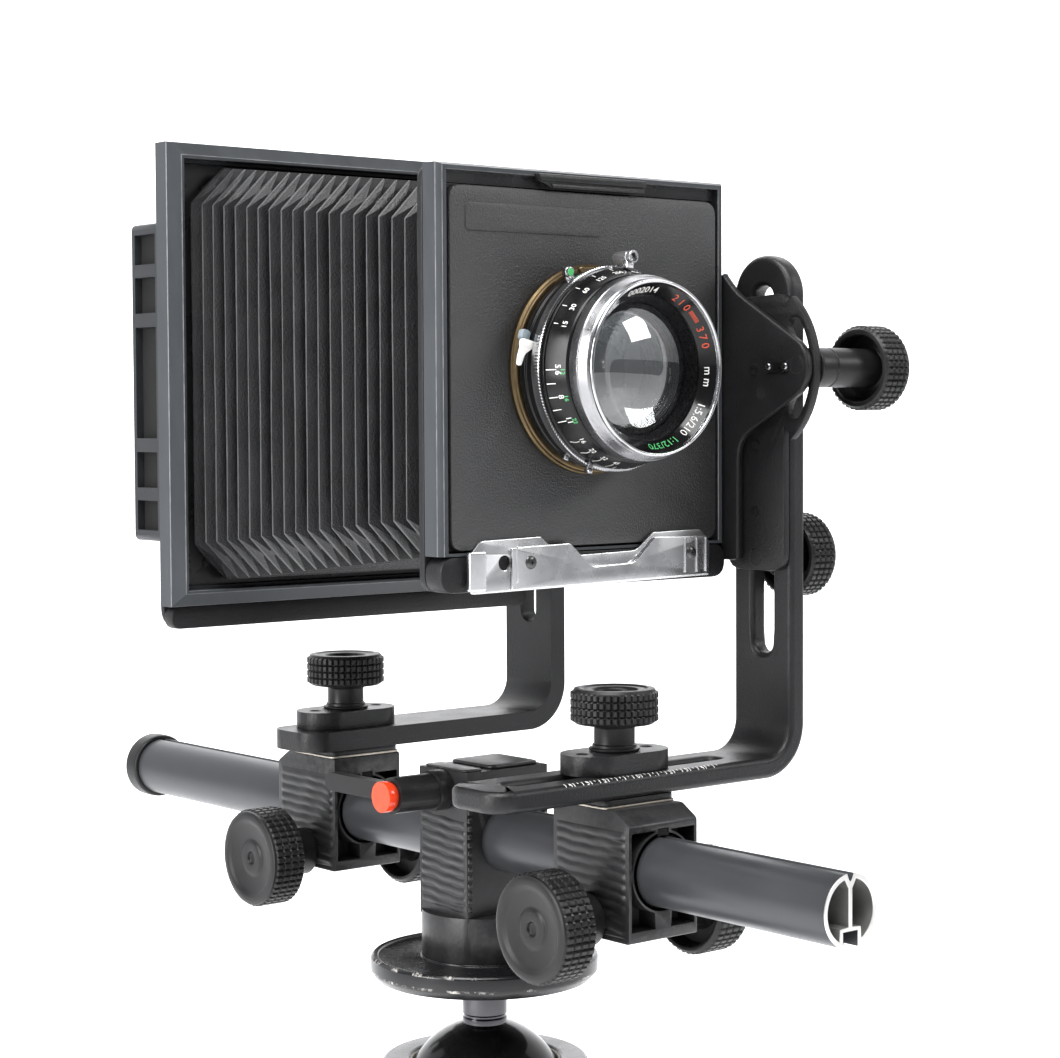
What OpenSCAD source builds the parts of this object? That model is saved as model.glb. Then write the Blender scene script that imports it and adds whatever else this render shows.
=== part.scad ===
// Monorail view camera with L-shaped standards, on a ball head and a short tripod.
// Origin: floor level under the middle of the rail. +Y is the back, the lens faces -Y.

/* [Rail] */
// Height of the rail's axis above the floor
rail_z = 510; // [500:1:560]
// Length of the bare rail, without its end cap
rail_len = 545.5; // [520:0.5:600]
// Outside radius of the rail
rail_r = 15.8; // [15.8:0.1:15.8]
// Wall of the rail
rail_wall = 2.8; // [2:0.1:3.5]

/* [Rail blocks] */
// Width of a block across the rail
block_w = 43.2; // [42:0.2:45]
// Length of a block along the rail
block_len = 51.6; // [48:0.2:54]
// Distance of the front block's middle ahead of the rail's middle
front_block_y = 140.6; // [120:0.1:150]
// Distance of the rear block's middle behind the rail's middle
rear_block_y = 85.6; // [75:0.1:100]
// Distance from a block's middle to its swing axis
swing_offset = 6.9; // [5:0.1:8]

/* [Standards] */
// Gap between the rail's middle plane and the front arm's inner face
front_arm_x = 95; // [95:0.5:97]
// The same for the rear arm
rear_arm_x = 124.5; // [124.5:0.5:126.5]
// Thickness of the arms
arm_t = 10; // [9:0.5:11]
// Half the width of the arms
arm_half = 19.5; // [19:0.5:20]
// Height of the arms' tops above the rail's axis
arm_top = 280; // [270:1:290]
// Height of the tilt axis above the rail's axis
tilt_z = 226; // [222:1:230]
// Distance from the tilt axis to the tilt lock bolt
tilt_r = 36; // [35:0.5:37]

/* [Frames] */
// Side of the square lens board
board = 162; // [160:1:162]
// Width of the front frame
front_frame_w = 173; // [172:1:175]
// Distance of the lens board's face ahead of the rail's middle
board_y = 117.25; // [117:0.25:118]
// Width of the rear frame
rear_frame_w = 229.2; // [228:0.2:230]
// Height of the rear frame
rear_frame_h = 226.4; // [224:0.2:228]
// Height of the lens axis above the rail's axis
lens_z = 225; // [223:1:227]

/* [Bellows] */
// Number of folds
folds = 19; // [15:1:24]
// Depth of a fold
fold_depth = 9; // [6:0.5:12]

/* [Head and tripod] */
// Distance of the head's axis ahead of the rail's middle
head_y = 37.25; // [30:0.25:45]
// Radius of the ball
ball_r = 40; // [36:1:42]
// Radius of the platform
platform_r = 55.7; // [50:0.1:60]
// Angle of a leg from the vertical
leg_spread = 22.5; // [15:0.5:25]
// Radius of a leg's tube
leg_r = 11; // [9:0.5:13]

/* [Hidden] */
$fn = 96;

// Clearance of a running fit, and the gap between parts that only pass each other
fit = 0.05;
gap = 0.3;

// Ends of the rail and its open grooves
cap_len = 14;
rail_front_y = -(rail_len + cap_len) / 2;
rail_back_y = rail_front_y + rail_len;
groove_half = 4.5;
groove_depth = 7.5;
rack_half = 2.2;

// Heights above the rail's axis
block_top = 28.1;
block_bottom = -30.5;
plate_top = 31.9;
arm_z = 32;
arm_z1 = arm_z + arm_t;
clamp_z = arm_z1 + 0.2;
clamp_z1 = clamp_z + 9;
swing_knob_z = 63.5;
knob_h = 16.5;
knob_r = 20.2;
bolt_r = 4.4;
focus_z = -22.5;
focus_r = 25;
pinion_r = 6.8;
shaft_r = 3;
rise_z = 136;
rise_bolt_r = 4;
tilt_bolt_r = 4;
tilt_sleeve_r = 9.5;
pivot_r = 5;

// Sideways stack on a standard, from the frame's flank to the arm
slider_t = 4.1;
slider_gap = 0.3;
swing_to_tilt = 4.5;
front_swing_y = -(front_block_y - swing_offset);
rear_swing_y = rear_block_y - swing_offset;
front_tilt_y = front_swing_y + swing_to_tilt;
rear_tilt_y = rear_swing_y - swing_to_tilt;
tilt_knob_out = 49;
rear_reach = rear_arm_x + tilt_knob_out;

// Rear frame
rear_face_y = 62.75;
rear_plate_y = 73.35;
rear_plate_t = 3.4;
back_y = rear_plate_y + rear_plate_t + 0.15;
back_depth = 44.5;
back_half = 100;

// Ball head and tripod
ball_z = -131;
platform_z = -58;
platform_t = 12;
collar_z = -120;
housing_z = -190;
apex_z = -202;
hinge_z = -225;
spigot_r = 4.7;
foot_r = 11;
foot_drop = rail_z + hinge_z - foot_r + 1.5;
hinge_r = rear_reach - foot_r - foot_drop * tan(leg_spread);
leg_len = foot_drop / cos(leg_spread);
leg_angles = [180, 60, -60];
tongue_half = 7;

module at_rail() translate([0, 0, rail_z]) children();

module at_head() translate([0, -head_y, rail_z]) children();

module at_lens(y) translate([0, y, rail_z + lens_z]) rotate([90, 0, 0]) children();

// A cylinder along X from x0 to x1
module rod_x(r, x0, x1) translate([x0, 0, 0]) rotate([0, 90, 0]) cylinder(r = r, h = x1 - x0);

// A flat shape drawn as (Y, Z), raised along X from x0 to x1
module plate_x(x0, x1) translate([x0, 0, 0]) rotate([90, 0, 90]) linear_extrude(x1 - x0) children();

// A flat shape drawn as (X, Z), raised along Y from y0 to y1
module plate_y(y0, y1) translate([0, y1, 0]) rotate([90, 0, 0]) linear_extrude(y1 - y0) children();

// A flat rectangle with round corners, centred
module round_rect(w, h, r) {
    square([w - 2 * r, h], center = true);
    square([w, h - 2 * r], center = true);
    for (sx = [-1, 1], sy = [-1, 1])
        translate([sx * (w / 2 - r), sy * (h / 2 - r)]) circle(r);
}

// A flat slot with round ends, long along its first axis, from a to b
module slot(a, b, r) {
    translate([a, -r]) square([b - a, 2 * r]);
    translate([a, 0]) circle(r);
    translate([b, 0]) circle(r);
}

// A plate frame: outside w by h, window ww by wh
module window_frame(w, h, ww, wh, r = 2) difference() {
    round_rect(w, h, r);
    square([ww, wh], center = true);
}

// ---- tripod ----

module on_leg(n) at_head() rotate([0, 0, leg_angles[n]]) translate([hinge_r, 0, hinge_z]) children();

module tripod_apex() color("dimgray") difference() {
    union() {
        at_head() translate([0, 0, apex_z - 38]) cylinder(r = 20, h = 30);
        at_head() translate([0, 0, apex_z - 12]) cylinder(r = 36, h = 12);
        for (n = [0:2], side = [-1, 1]) on_leg(n) {
            translate([-36, side * (tongue_half + 4.2) - 4, -10]) cube([36, 8, 33]);
            translate([0, side * (tongue_half + 4.2) + 4, 0]) rotate([90, 0, 0]) cylinder(r = 10, h = 8);
        }
    }
    for (n = [0:2]) on_leg(n) translate([0, 25, 0]) rotate([90, 0, 0]) cylinder(r = 3, h = 50);
    at_head() translate([0, 0, apex_z - 20.5]) cylinder(r = spigot_r + fit, h = 21);
}

module leg_hinge_pins() color("silver")
    for (n = [0:2]) on_leg(n) translate([0, 16, 0]) rotate([90, 0, 0]) cylinder(r = 3, h = 32);

module leg(n) color("black") on_leg(n) rotate([0, -leg_spread, 0]) difference() {
    union() {
        translate([-8, -tongue_half, -30]) cube([16, 2 * tongue_half, 30]);
        translate([0, tongue_half, 0]) rotate([90, 0, 0]) cylinder(r = 8, h = 2 * tongue_half);
        translate([0, 0, -44]) cylinder(r = leg_r + 1.5, h = 18);
        translate([0, 0, -leg_len + 6]) cylinder(r = leg_r, h = leg_len - 40);
    }
    translate([0, 25, 0]) rotate([90, 0, 0]) cylinder(r = 3 + fit, h = 50);
}

module foot(n) color("#222222") difference() {
    on_leg(n) rotate([0, -leg_spread, 0]) translate([0, 0, -leg_len]) difference() {
        union() {
            sphere(foot_r);
            cylinder(r = foot_r, h = 5.9);
        }
        translate([0, 0, 5.9]) cylinder(r = foot_r + 1, h = foot_r);
    }
    translate([-300, -300, -20]) cube([600, 600, 20]);
}

// ---- ball head ----

module pan_base() color("dimgray") at_head() translate([0, 0, apex_z + 0.2]) {
    cylinder(r = 38, h = housing_z - apex_z - 0.5);
    translate([0, 0, -20]) cylinder(r = spigot_r, h = 21);
}

module ball_housing() color("black") at_head() difference() {
    union() {
        translate([0, 0, housing_z]) cylinder(r = 44, h = 12);
        translate([0, 0, housing_z + 12]) cylinder(r1 = 44, r2 = 49, h = collar_z - housing_z - 12.1);
        translate([0, 0, -150]) rod_x(11, 0, 54);
    }
    translate([0, 0, ball_z]) sphere(ball_r + gap);
    translate([0, 0, ball_z]) cylinder(r = ball_r + gap, h = 30);
    translate([0, 0, -150]) rod_x(3 + fit, 0, 60);
}

module ball_collar() color("black") at_head() translate([0, 0, collar_z]) difference() {
    cylinder(r = 51, h = 10);
    translate([0, 0, -0.01]) cylinder(r1 = 39.2, r2 = 35.6, h = 10.02);
}

module ball_lock_knob() color("black") at_head() translate([0, 0, -150]) {
    rod_x(3, 42, 58);
    rod_x(13, 54.4, 62);
    rod_x(19, 62, 82);
}

module ball_stem() color("silver") at_head() {
    translate([0, 0, ball_z]) sphere(ball_r);
    translate([0, 0, ball_z]) cylinder(r = 11, h = platform_z - platform_t - ball_z);
}

module head_platform() color("#333333") at_head()
    translate([0, 0, platform_z - platform_t]) cylinder(r = platform_r, h = platform_t);

// ---- rail clamp ----

module rail_clamp_block() color("#2a2a2c") at_head() difference() {
    union() {
        translate([0, 0, platform_z]) cylinder(r = 30.6, h = 22);
        translate([-25, -18.6, platform_z + 20]) cube([50, 37.2, 34 - platform_z - 20]);
    }
    translate([0, -40, 0]) rotate([-90, 0, 0]) cylinder(r = rail_r + fit, h = 80);
    translate([0, 0, 24.4]) rod_x(3 + fit, -30, -16);
}

module clamp_lever() color("black") at_head() translate([0, 0, 24.4]) difference() {
    union() {
        rod_x(3, -30, -19);
        rod_x(9.8, -33, -25 - gap);
        rod_x(8.7, -56, -33);
        translate([-52, 0, -4.4]) cube([6, 56, 8.8]);
        translate([-52, 56, 0]) rod_x(4.4, 0, 6);
    }
    rod_x(6.2 + fit, -56.1, -50);
}

module lever_button() color("orangered") at_head() translate([0, 0, 24.4]) {
    rod_x(6.2, -58, -52);
    rod_x(7.3, -62, -57.8);
}

// ---- rail ----

module groove_pair(half, depth, r) for (side = [-1, 1])
    polygon([[-half, side * (r + 1)], [half, side * (r + 1)], [half * 0.45, side * (r - depth)],
             [-half * 0.45, side * (r - depth)]]);

module rail_section() difference() {
    circle(rail_r);
    groove_pair(groove_half, groove_depth, rail_r);
    difference() {
        circle(rail_r - rail_wall);
        square([3, 2 * rail_r], center = true);
        groove_pair(groove_half + rail_wall, groove_depth + rail_wall, rail_r);
    }
}

module monorail() color("#3c3e44") at_rail() plate_y(rail_front_y, rail_back_y) rail_section();

module focus_rack() color("#151515") at_rail()
    translate([-rack_half, rail_front_y + 6, focus_z + pinion_r + 0.1])
        cube([2 * rack_half, rail_len - 12, 6.4]);

module rail_end_cap() color("#202124") at_rail() translate([0, rail_back_y, 0]) rotate([-90, 0, 0]) {
    cylinder(r = 18, h = 11);
    translate([0, 0, 11]) cylinder(r1 = 18, r2 = 16, h = cap_len - 11);
}

// ---- standards: "dir" is -1 at the front and 1 at the back ----

module rail_block(block_y, dir) color("#2a2a2c") at_rail() translate([0, block_y, 0]) difference() {
    rotate([0, 0, dir > 0 ? 180 : 0]) plate_x(-block_w / 2, block_w / 2) polygon([
        [-block_len / 2, block_bottom], [block_len / 2, block_bottom], [block_len / 2, block_top],
        [-block_len / 2 + 13.8, block_top], [-block_len / 2, block_top - 6.5]]);
    rotate([90, 0, 0]) cylinder(r = rail_r + fit, h = 80, center = true);
    translate([0, 0, focus_z]) rod_x(shaft_r + fit, -30, 12);
    translate([0, 0, focus_z]) rod_x(pinion_r + gap, -8, 8);
    translate([-8, -pinion_r - gap, focus_z]) cube([16, 2 * (pinion_r + gap), 12]);
    translate([0, 0, focus_z]) rod_x(4 + fit, 13.5, 30);
    translate([0, -dir * swing_offset, 17]) cylinder(r = bolt_r + fit, h = 20);
}

module focus_knob(block_y) color("#18181a") at_rail() translate([0, block_y, focus_z]) {
    difference() {
        rod_x(focus_r, -57, -37);
        rod_x(17, -57.1, -55);
    }
    rod_x(12, -37, -block_w / 2 - gap);
    rod_x(shaft_r, -37, 11);
    rod_x(pinion_r, -7.5, 7.5);
}

module lock_knob(block_y) color("#18181a") at_rail() translate([0, block_y, focus_z]) {
    difference() {
        rod_x(focus_r, 37, 57);
        rod_x(21, 36.9, 46);
    }
    rod_x(12, block_w / 2 + gap, 57);
    rod_x(4, 14, 40);
}

module swing_plate(swing_y) color("#c9c2b0") at_rail() translate([0, swing_y, block_top + 0.1])
    difference() {
        linear_extrude(plate_top - block_top - 0.1) round_rect(block_w, 37, 4);
        translate([0, 0, -1]) cylinder(r = bolt_r + 0.2, h = 10);
    }

// Flat arm, quarter bend and upright; "left" is the arm's free end, with or without a shift slot
module l_arm(arm_x, swing_y, left, shift_slot) color("#1b1b1d") at_rail() translate([0, swing_y, 0]) {
    bend_in = 15;
    bend_x = arm_x - bend_in;
    bend_z = arm_z1 + bend_in;
    translate([0, 0, arm_z]) linear_extrude(arm_t) difference() {
        union() {
            translate([left + 12, -arm_half]) square([bend_x - left - 12, 2 * arm_half]);
            translate([left, -arm_half + 12]) square([12, 2 * arm_half - 24]);
            for (side = [-1, 1]) translate([left + 12, side * (arm_half - 12)]) circle(12);
        }
        if (shift_slot) slot(-60, 60, 5);
        if (!shift_slot) circle(bolt_r + 0.2);
    }
    translate([bend_x, 0, bend_z]) rotate([90, 0, 0]) rotate([0, 0, -90])
        rotate_extrude(angle = 90) translate([bend_in, -arm_half]) square([arm_t, 2 * arm_half]);
    plate_x(arm_x, arm_x + arm_t) difference() {
        union() {
            translate([-arm_half, bend_z]) square([2 * arm_half, arm_top - arm_half - bend_z]);
            translate([0, arm_top - arm_half]) circle(arm_half);
        }
        rotate(90) slot(96, 259, 6.65);
    }
}

module swing_clamp(swing_y) color("#202022") at_rail() translate([0, swing_y, clamp_z]) difference() {
    linear_extrude(clamp_z1 - clamp_z) slot(-13, 13, 15);
    translate([0, 0, -1]) cylinder(r = bolt_r + fit, h = 20);
    for (side = [-1, 1]) translate([side * 20, 0, 6]) cylinder(r = 2.5, h = 10);
}

module swing_knob(swing_y) color("#18181a") at_rail() translate([0, swing_y, 0]) {
    translate([0, 0, 18]) cylinder(r = bolt_r, h = 50);
    translate([0, 0, clamp_z1 + 0.2]) cylinder(r = 9.5, h = swing_knob_z - clamp_z1);
    difference() {
        translate([0, 0, swing_knob_z]) cylinder(r = knob_r, h = knob_h);
        translate([0, 0, swing_knob_z + knob_h - 1.5]) cylinder(r = 14, h = 3);
    }
}

// Sliding plate on the arm's inner face, with the arc that the tilt lock runs in
module rise_slider(arm_x, swing_y, dir) color("#1b1b1d") at_rail() {
    tilt_y = swing_y - dir * swing_to_tilt;
    plate_x(arm_x - slider_gap - slider_t, arm_x - slider_gap) difference() {
        union() {
            translate([swing_y - 19, rise_z + 13]) square([38, 258 - rise_z - 13]);
            translate([swing_y, rise_z + 13.5]) round_rect(38, 40, 9);
            translate([tilt_y, tilt_z]) intersection() {
                circle(tilt_r + 8);
                polygon([[0, 0], [dir * 60, 60], [dir * 60, -60]]);
            }
        }
        translate([tilt_y, tilt_z]) circle(pivot_r + fit);
        translate([swing_y, rise_z]) circle(rise_bolt_r + fit);
        translate([tilt_y, tilt_z]) intersection() {
            difference() {
                circle(tilt_r + tilt_bolt_r + 0.4);
                circle(tilt_r - tilt_bolt_r - 0.4);
            }
            polygon([[0, 0], [dir * 60, 46], [dir * 60, -46]]);
        }
    }
}

// A lock knob on a bolt: the bolt starts at x0, its sleeve at sleeve_x, and the knob ends at x_end
module side_knob(x0, sleeve_x, r_bolt, r_sleeve, x_end) {
    rod_x(r_bolt, x0, sleeve_x + 2);
    rod_x(r_sleeve, sleeve_x, x_end - 14);
    difference() {
        rod_x(knob_r, x_end - 17, x_end);
        rod_x(15, x_end - 1.5, x_end + 1);
    }
}

module rise_knob(arm_x, swing_y) color("#18181a") at_rail() translate([0, swing_y, rise_z])
    side_knob(arm_x - slider_gap - slider_t, arm_x + arm_t + gap, rise_bolt_r, 10, arm_x + 32);

module tilt_knob(arm_x, swing_y, dir) color("#18181a") at_rail()
    translate([0, swing_y - dir * swing_to_tilt + dir * tilt_r, tilt_z])
        side_knob(arm_x - 2 * slider_gap - slider_t - 3, arm_x + gap, tilt_bolt_r, tilt_sleeve_r,
                  arm_x + tilt_knob_out);

// Side cheek of a frame: a strip from inner_y to edge_y on the frame's flank, a lug that runs
// out to the tilt lock's bolt, and the pivot pin
module cheek(arm_x, tilt_y, flank, inner_y, edge_y, low_z, dir) {
    cheek_x = arm_x - 2 * slider_gap - slider_t;
    lug = tilt_y + dir * 28;
    plate_x(flank, cheek_x) difference() {
        union() {
            translate([min(inner_y, edge_y), low_z])
                square([abs(edge_y - inner_y), tilt_z + 36 - low_z]);
            polygon([[edge_y, tilt_z - 34], [edge_y, tilt_z + 36], [lug + dir * 6.5, tilt_z + 13.5],
                     [lug + dir * 6.5, tilt_z - 13.5]]);
            translate([lug, tilt_z]) circle(15);
        }
        translate([tilt_y + dir * tilt_r, tilt_z]) circle(tilt_bolt_r + fit);
    }
    translate([0, tilt_y, tilt_z]) rod_x(pivot_r, cheek_x - 1, arm_x - slider_gap);
}

// ---- front frame and lens board ----

module front_frame() color("#1e1e20") at_rail() {
    back = -board_y + 16;
    difference() {
        translate([0, 0, lens_z]) union() {
            plate_y(back - 4, back) translate([0, -4.5]) round_rect(front_frame_w, 189, 8);
            plate_y(-board_y + 4.1, back) square(board + 0.2, center = true);
            plate_y(-board_y, back) translate([0, -91]) round_rect(front_frame_w, 16, 7.9);
        }
        translate([0, 0, lens_z]) plate_y(-board_y - 1, back + 1) square(140, center = true);
        translate([0, 0, lens_z]) plate_y(-board_y - 1, -board_y + 4.1) square(board + 0.4, center = true);
    }
    cheek(front_arm_x, front_tilt_y, front_frame_w / 2, back, front_tilt_y + 3.2, 134, -1);
}

module front_bellows_frame() color("#4a4f59") at_rail() translate([0, 0, lens_z])
    plate_y(-board_y, -board_y + 11.9) difference() {
        translate([0, 3.6]) square([front_frame_w, 172.8], center = true);
        square(board + 0.5, center = true);
        translate([0, -91]) square([front_frame_w + 2, 16.6], center = true);
    }

module board_latch() color("#161617") at_rail() translate([-33, -board_y - 3.2, lens_z + 78])
    cube([66, 3, 12]);

module board_clip() color("#c8cacc") at_rail() plate_y(-board_y - 5.4, -board_y - 0.1) difference() {
    polygon([[-74.5, 124.8], [74.5, 124.8], [74.5, 149.5], [36, 149.5], [24, 140], [-20, 140],
             [-32, 149.5], [-74.5, 149.5]]);
    for (x = [-47, 60]) translate([x, 138]) circle(2.5);
}

module lens_board() color("#1a1a1b") at_lens(-board_y + 4) linear_extrude(4) difference() {
    round_rect(board, board, 4);
    circle(33);
}

// ---- lens and shutter: distances run forward from the board's face ----

module lens_flange() color("#8a6a3a") at_lens(-board_y - 0.1) difference() {
    cylinder(r = 48, h = 4.2);
    translate([0, 0, -1]) cylinder(r = 34, h = 8);
}

module shutter_body() color("#202022") at_lens(-board_y - 4.4) difference() {
    union() {
        cylinder(r = 45.5, h = 9);
        cylinder(r = 43, h = 18);
        translate([0, 0, 17.3]) cylinder(r1 = 45.5, r2 = 42, h = 11.7);
    }
    translate([0, 0, -1]) cylinder(r = 30, h = 40);
}

module speed_ring() color("#b8b8ba") at_lens(-board_y - 13.6) difference() {
    cylinder(r = 46.8, h = 5.6);
    translate([0, 0, -1]) cylinder(r = 43 + fit, h = 8);
}

module lens_barrel() color("#2a2a2c") at_lens(-board_y - 33.6) difference() {
    union() {
        cylinder(r = 41.5, h = 6);
        translate([0, 0, 6]) cylinder(r1 = 41.5, r2 = 39.3, h = 7.3);
    }
    translate([0, 0, 4]) cylinder(r1 = 30, r2 = 37.6, h = 9.4);
    translate([0, 0, -1]) cylinder(r = 30, h = 8);
}

module front_glass() color("#9fb8c8") at_lens(-board_y - 12) intersection() {
    cylinder(r = 29.8, h = 40);
    translate([0, 0, -27]) sphere(54);
}

module rear_cell() color("#202022") at_lens(-board_y + 34) difference() {
    cylinder(r = 29, h = 38.3);
    translate([0, 0, -1]) cylinder(r = 25, h = 6);
}

module aperture_lever() color("#c8c8ca") at_lens(-board_y - 19.5) rotate(-112) {
    difference() {
        cylinder(r = 45.3, h = 1.8);
        translate([0, 0, -1]) cylinder(r = 43 + fit, h = 8);
    }
    translate([44, -2.5, 0]) cube([7, 5, 1.8]);
}

module cocking_lever() color("#d8d8da") at_lens(-board_y - 24) rotate(168) difference() {
    translate([43, -3, -14]) cube([6.4, 20, 3.2]);
    translate([0, 0, -15]) cylinder(r = 46.9 + gap, h = 10);
}

module release_socket() color("#c0c0c2") at_lens(-board_y - 16.5) {
    translate([2, 50.2, 0]) cylinder(r = 3, h = 12);
    translate([2, 50, 8]) rotate([90, 0, 0]) cylinder(r = 2, h = 4.75);
}

// ---- bellows: a pleated tube with cut corners, its rings running from the back to the front ----

bellows_y0 = rear_face_y - 4.1;
bellows_y1 = -board_y + 16.1;
rear_half = 102;
front_half = 82.5;
rear_cut = 19;
front_cut = 17;
skin = 0.8;
ring_count = 2 * folds + 1;

// Half width and corner cut of ring i, "inset" inward from its crest
function ring_t(i) = i / (ring_count - 1);
function ring_half(i, inset) =
    rear_half + (front_half - rear_half) * ring_t(i) - inset - (i % 2 == 0 ? fold_depth : 0);
function ring_cut(i) = rear_cut + (front_cut - rear_cut) * ring_t(i);
function ring_y(i) = bellows_y0 + (bellows_y1 - bellows_y0) * ring_t(i);
function ring_points(i, inset) = let (h = ring_half(i, inset), c = ring_cut(i)) [
    for (q = [[h, h - c], [h - c, h], [c - h, h], [-h, h - c], [-h, c - h], [c - h, -h], [h - c, -h],
              [h, c - h]]) [q[0], ring_y(i), q[1] + lens_z]];
function band(a, b, flip) = [for (k = [0:7]) let (n = (k + 1) % 8)
    flip ? [a + k, a + n, b + n, b + k] : [a + k, b + k, b + n, a + n]];

module bellows() color("#1c1c1e") at_rail() {
    points = concat(
        [for (i = [0:ring_count - 1]) each ring_points(i, 0)],
        [for (i = [0:ring_count - 1]) each ring_points(i, skin)]);
    inner = 8 * ring_count;
    faces = concat(
        [for (i = [0:ring_count - 2]) each band(8 * i, 8 * (i + 1), false)],
        [for (i = [0:ring_count - 2]) each band(inner + 8 * i, inner + 8 * (i + 1), true)],
        band(0, inner, true),
        band(8 * (ring_count - 1), inner + 8 * (ring_count - 1), false));
    polyhedron(points, faces, convexity = 10);
}

// ---- rear frame and back ----

module rear_frame() color("#1e1e20") at_rail() {
    difference() {
        union() {
            plate_y(rear_plate_y, rear_plate_y + rear_plate_t)
                translate([0, 218]) round_rect(225, 236, 10);
            plate_y(rear_face_y + 3, rear_plate_y + rear_plate_t)
                translate([0, 105.5]) round_rect(225, 11, 5.4);
        }
        translate([0, 0, lens_z]) plate_y(rear_face_y, rear_plate_y + 10) square([130, 106], center = true);
    }
    cheek(rear_arm_x, rear_tilt_y, 112.5, rear_plate_y + 0.1, rear_tilt_y + 3.2, 134, 1);
}

module rear_bellows_frame() color("#4a4f59") at_rail() translate([0, 0, lens_z - 0.5]) {
    difference() {
        union() {
            plate_y(rear_face_y, rear_plate_y - 0.1) square([rear_frame_w, rear_frame_h], center = true);
            plate_y(rear_face_y - 4, rear_face_y) square([216, 214], center = true);
        }
        plate_y(rear_face_y - 5, rear_plate_y + 1) square([184, 184], center = true);
    }
}

module ground_glass_back() color("#2a2b2e") at_rail() translate([0, 0, lens_z - 3.5]) difference() {
    plate_y(back_y, back_y + back_depth) round_rect(2 * back_half, 160, 3);
    plate_y(back_y - 1, back_y + back_depth + 1) square([122, 98], center = true);
    plate_y(back_y + 12, back_y + back_depth + 1) square([140, 116], center = true);
    plate_y(back_y + 19, back_y + back_depth + 1) square([176, 134], center = true);
    for (side = [-1, 1], pocket = [[-67, 15], [-44, 18], [0, 56], [44, 18], [67, 15]])
        translate([side * back_half - 4, back_y + 22, pocket[0] - pocket[1] / 2]) cube([8, 19.7, pocket[1]]);
}

module ground_glass() color("#c8d4d8") at_rail() translate([0, 0, lens_z - 3.5])
    plate_y(back_y + 12.1, back_y + 14.1) square([139, 115], center = true);

tripod_apex();
leg_hinge_pins();
leg(0);  // leg_1
leg(1);  // leg_2
leg(2);  // leg_3
foot(0);  // foot_1
foot(1);  // foot_2
foot(2);  // foot_3
pan_base();
ball_housing();
ball_collar();
ball_lock_knob();
ball_stem();
head_platform();
rail_clamp_block();
clamp_lever();
lever_button();
monorail();
focus_rack();
rail_end_cap();
rail_block(-front_block_y, -1);  // front_rail_block
focus_knob(-front_block_y);  // front_focus_knob
lock_knob(-front_block_y);  // front_lock_knob
swing_plate(front_swing_y);  // front_swing_plate
l_arm(front_arm_x, front_swing_y, -85, true);  // front_l_arm
swing_clamp(front_swing_y);  // front_swing_clamp
swing_knob(front_swing_y);  // front_swing_knob
rise_slider(front_arm_x, front_swing_y, -1);  // front_rise_slider
rise_knob(front_arm_x, front_swing_y);  // front_rise_knob
tilt_knob(front_arm_x, front_swing_y, -1);  // front_tilt_knob
front_frame();
front_bellows_frame();
board_latch();
board_clip();
lens_board();
lens_flange();
shutter_body();
speed_ring();
lens_barrel();
front_glass();
rear_cell();
aperture_lever();
cocking_lever();
release_socket();
bellows();
rail_block(rear_block_y, 1);  // rear_rail_block
focus_knob(rear_block_y);  // rear_focus_knob
lock_knob(rear_block_y);  // rear_lock_knob
swing_plate(rear_swing_y);  // rear_swing_plate
l_arm(rear_arm_x, rear_swing_y, -36, false);  // rear_l_arm
swing_clamp(rear_swing_y);  // rear_swing_clamp
swing_knob(rear_swing_y);  // rear_swing_knob
rise_slider(rear_arm_x, rear_swing_y, 1);  // rear_rise_slider
rise_knob(rear_arm_x, rear_swing_y);  // rear_rise_knob
tilt_knob(rear_arm_x, rear_swing_y, 1);  // rear_tilt_knob
rear_frame();
rear_bellows_frame();
ground_glass_back();
ground_glass();
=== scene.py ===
"""Looks of a monorail view camera with L-shaped standards, on a ball head and a short tripod.

Sizes are in millimetres in the shared frame, with the floor at z = 0 and the lens facing -Y, and are
scaled to metres when a piece is made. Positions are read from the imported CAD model.
"""
import math

import bmesh
import bpy
import numpy as np
from mathutils import Matrix, Vector, geometry, noise


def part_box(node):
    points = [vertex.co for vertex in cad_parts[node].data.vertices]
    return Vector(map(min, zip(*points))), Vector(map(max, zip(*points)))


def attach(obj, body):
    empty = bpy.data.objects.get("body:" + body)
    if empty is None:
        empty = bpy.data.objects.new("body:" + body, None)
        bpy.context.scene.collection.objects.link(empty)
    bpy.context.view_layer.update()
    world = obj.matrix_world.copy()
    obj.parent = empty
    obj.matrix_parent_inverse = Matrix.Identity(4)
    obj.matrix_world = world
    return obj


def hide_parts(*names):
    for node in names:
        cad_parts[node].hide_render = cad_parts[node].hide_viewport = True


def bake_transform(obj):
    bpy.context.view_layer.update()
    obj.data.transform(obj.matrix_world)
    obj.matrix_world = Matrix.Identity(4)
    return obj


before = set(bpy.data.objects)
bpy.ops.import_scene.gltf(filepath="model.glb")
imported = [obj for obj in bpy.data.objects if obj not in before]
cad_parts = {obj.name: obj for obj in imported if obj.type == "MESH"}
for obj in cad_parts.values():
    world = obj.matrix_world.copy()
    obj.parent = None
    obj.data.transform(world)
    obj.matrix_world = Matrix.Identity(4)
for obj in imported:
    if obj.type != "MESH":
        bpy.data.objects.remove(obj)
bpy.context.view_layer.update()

MM = 0.001
TAU = 2 * math.pi
WELD = 2e-6  # metres; points closer than this are merged


# ---------------------------------------------------------------- positions from the frame
def low(node):
    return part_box(node)[0] / MM


def high(node):
    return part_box(node)[1] / MM


def mid(node):
    return (low(node) + high(node)) / 2


def box_of(node):
    return low(node), high(node), mid(node)


def half_width(node):
    return (high(node).x - low(node).x) / 2


def half_height(node):
    return (high(node).z - low(node).z) / 2


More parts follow.
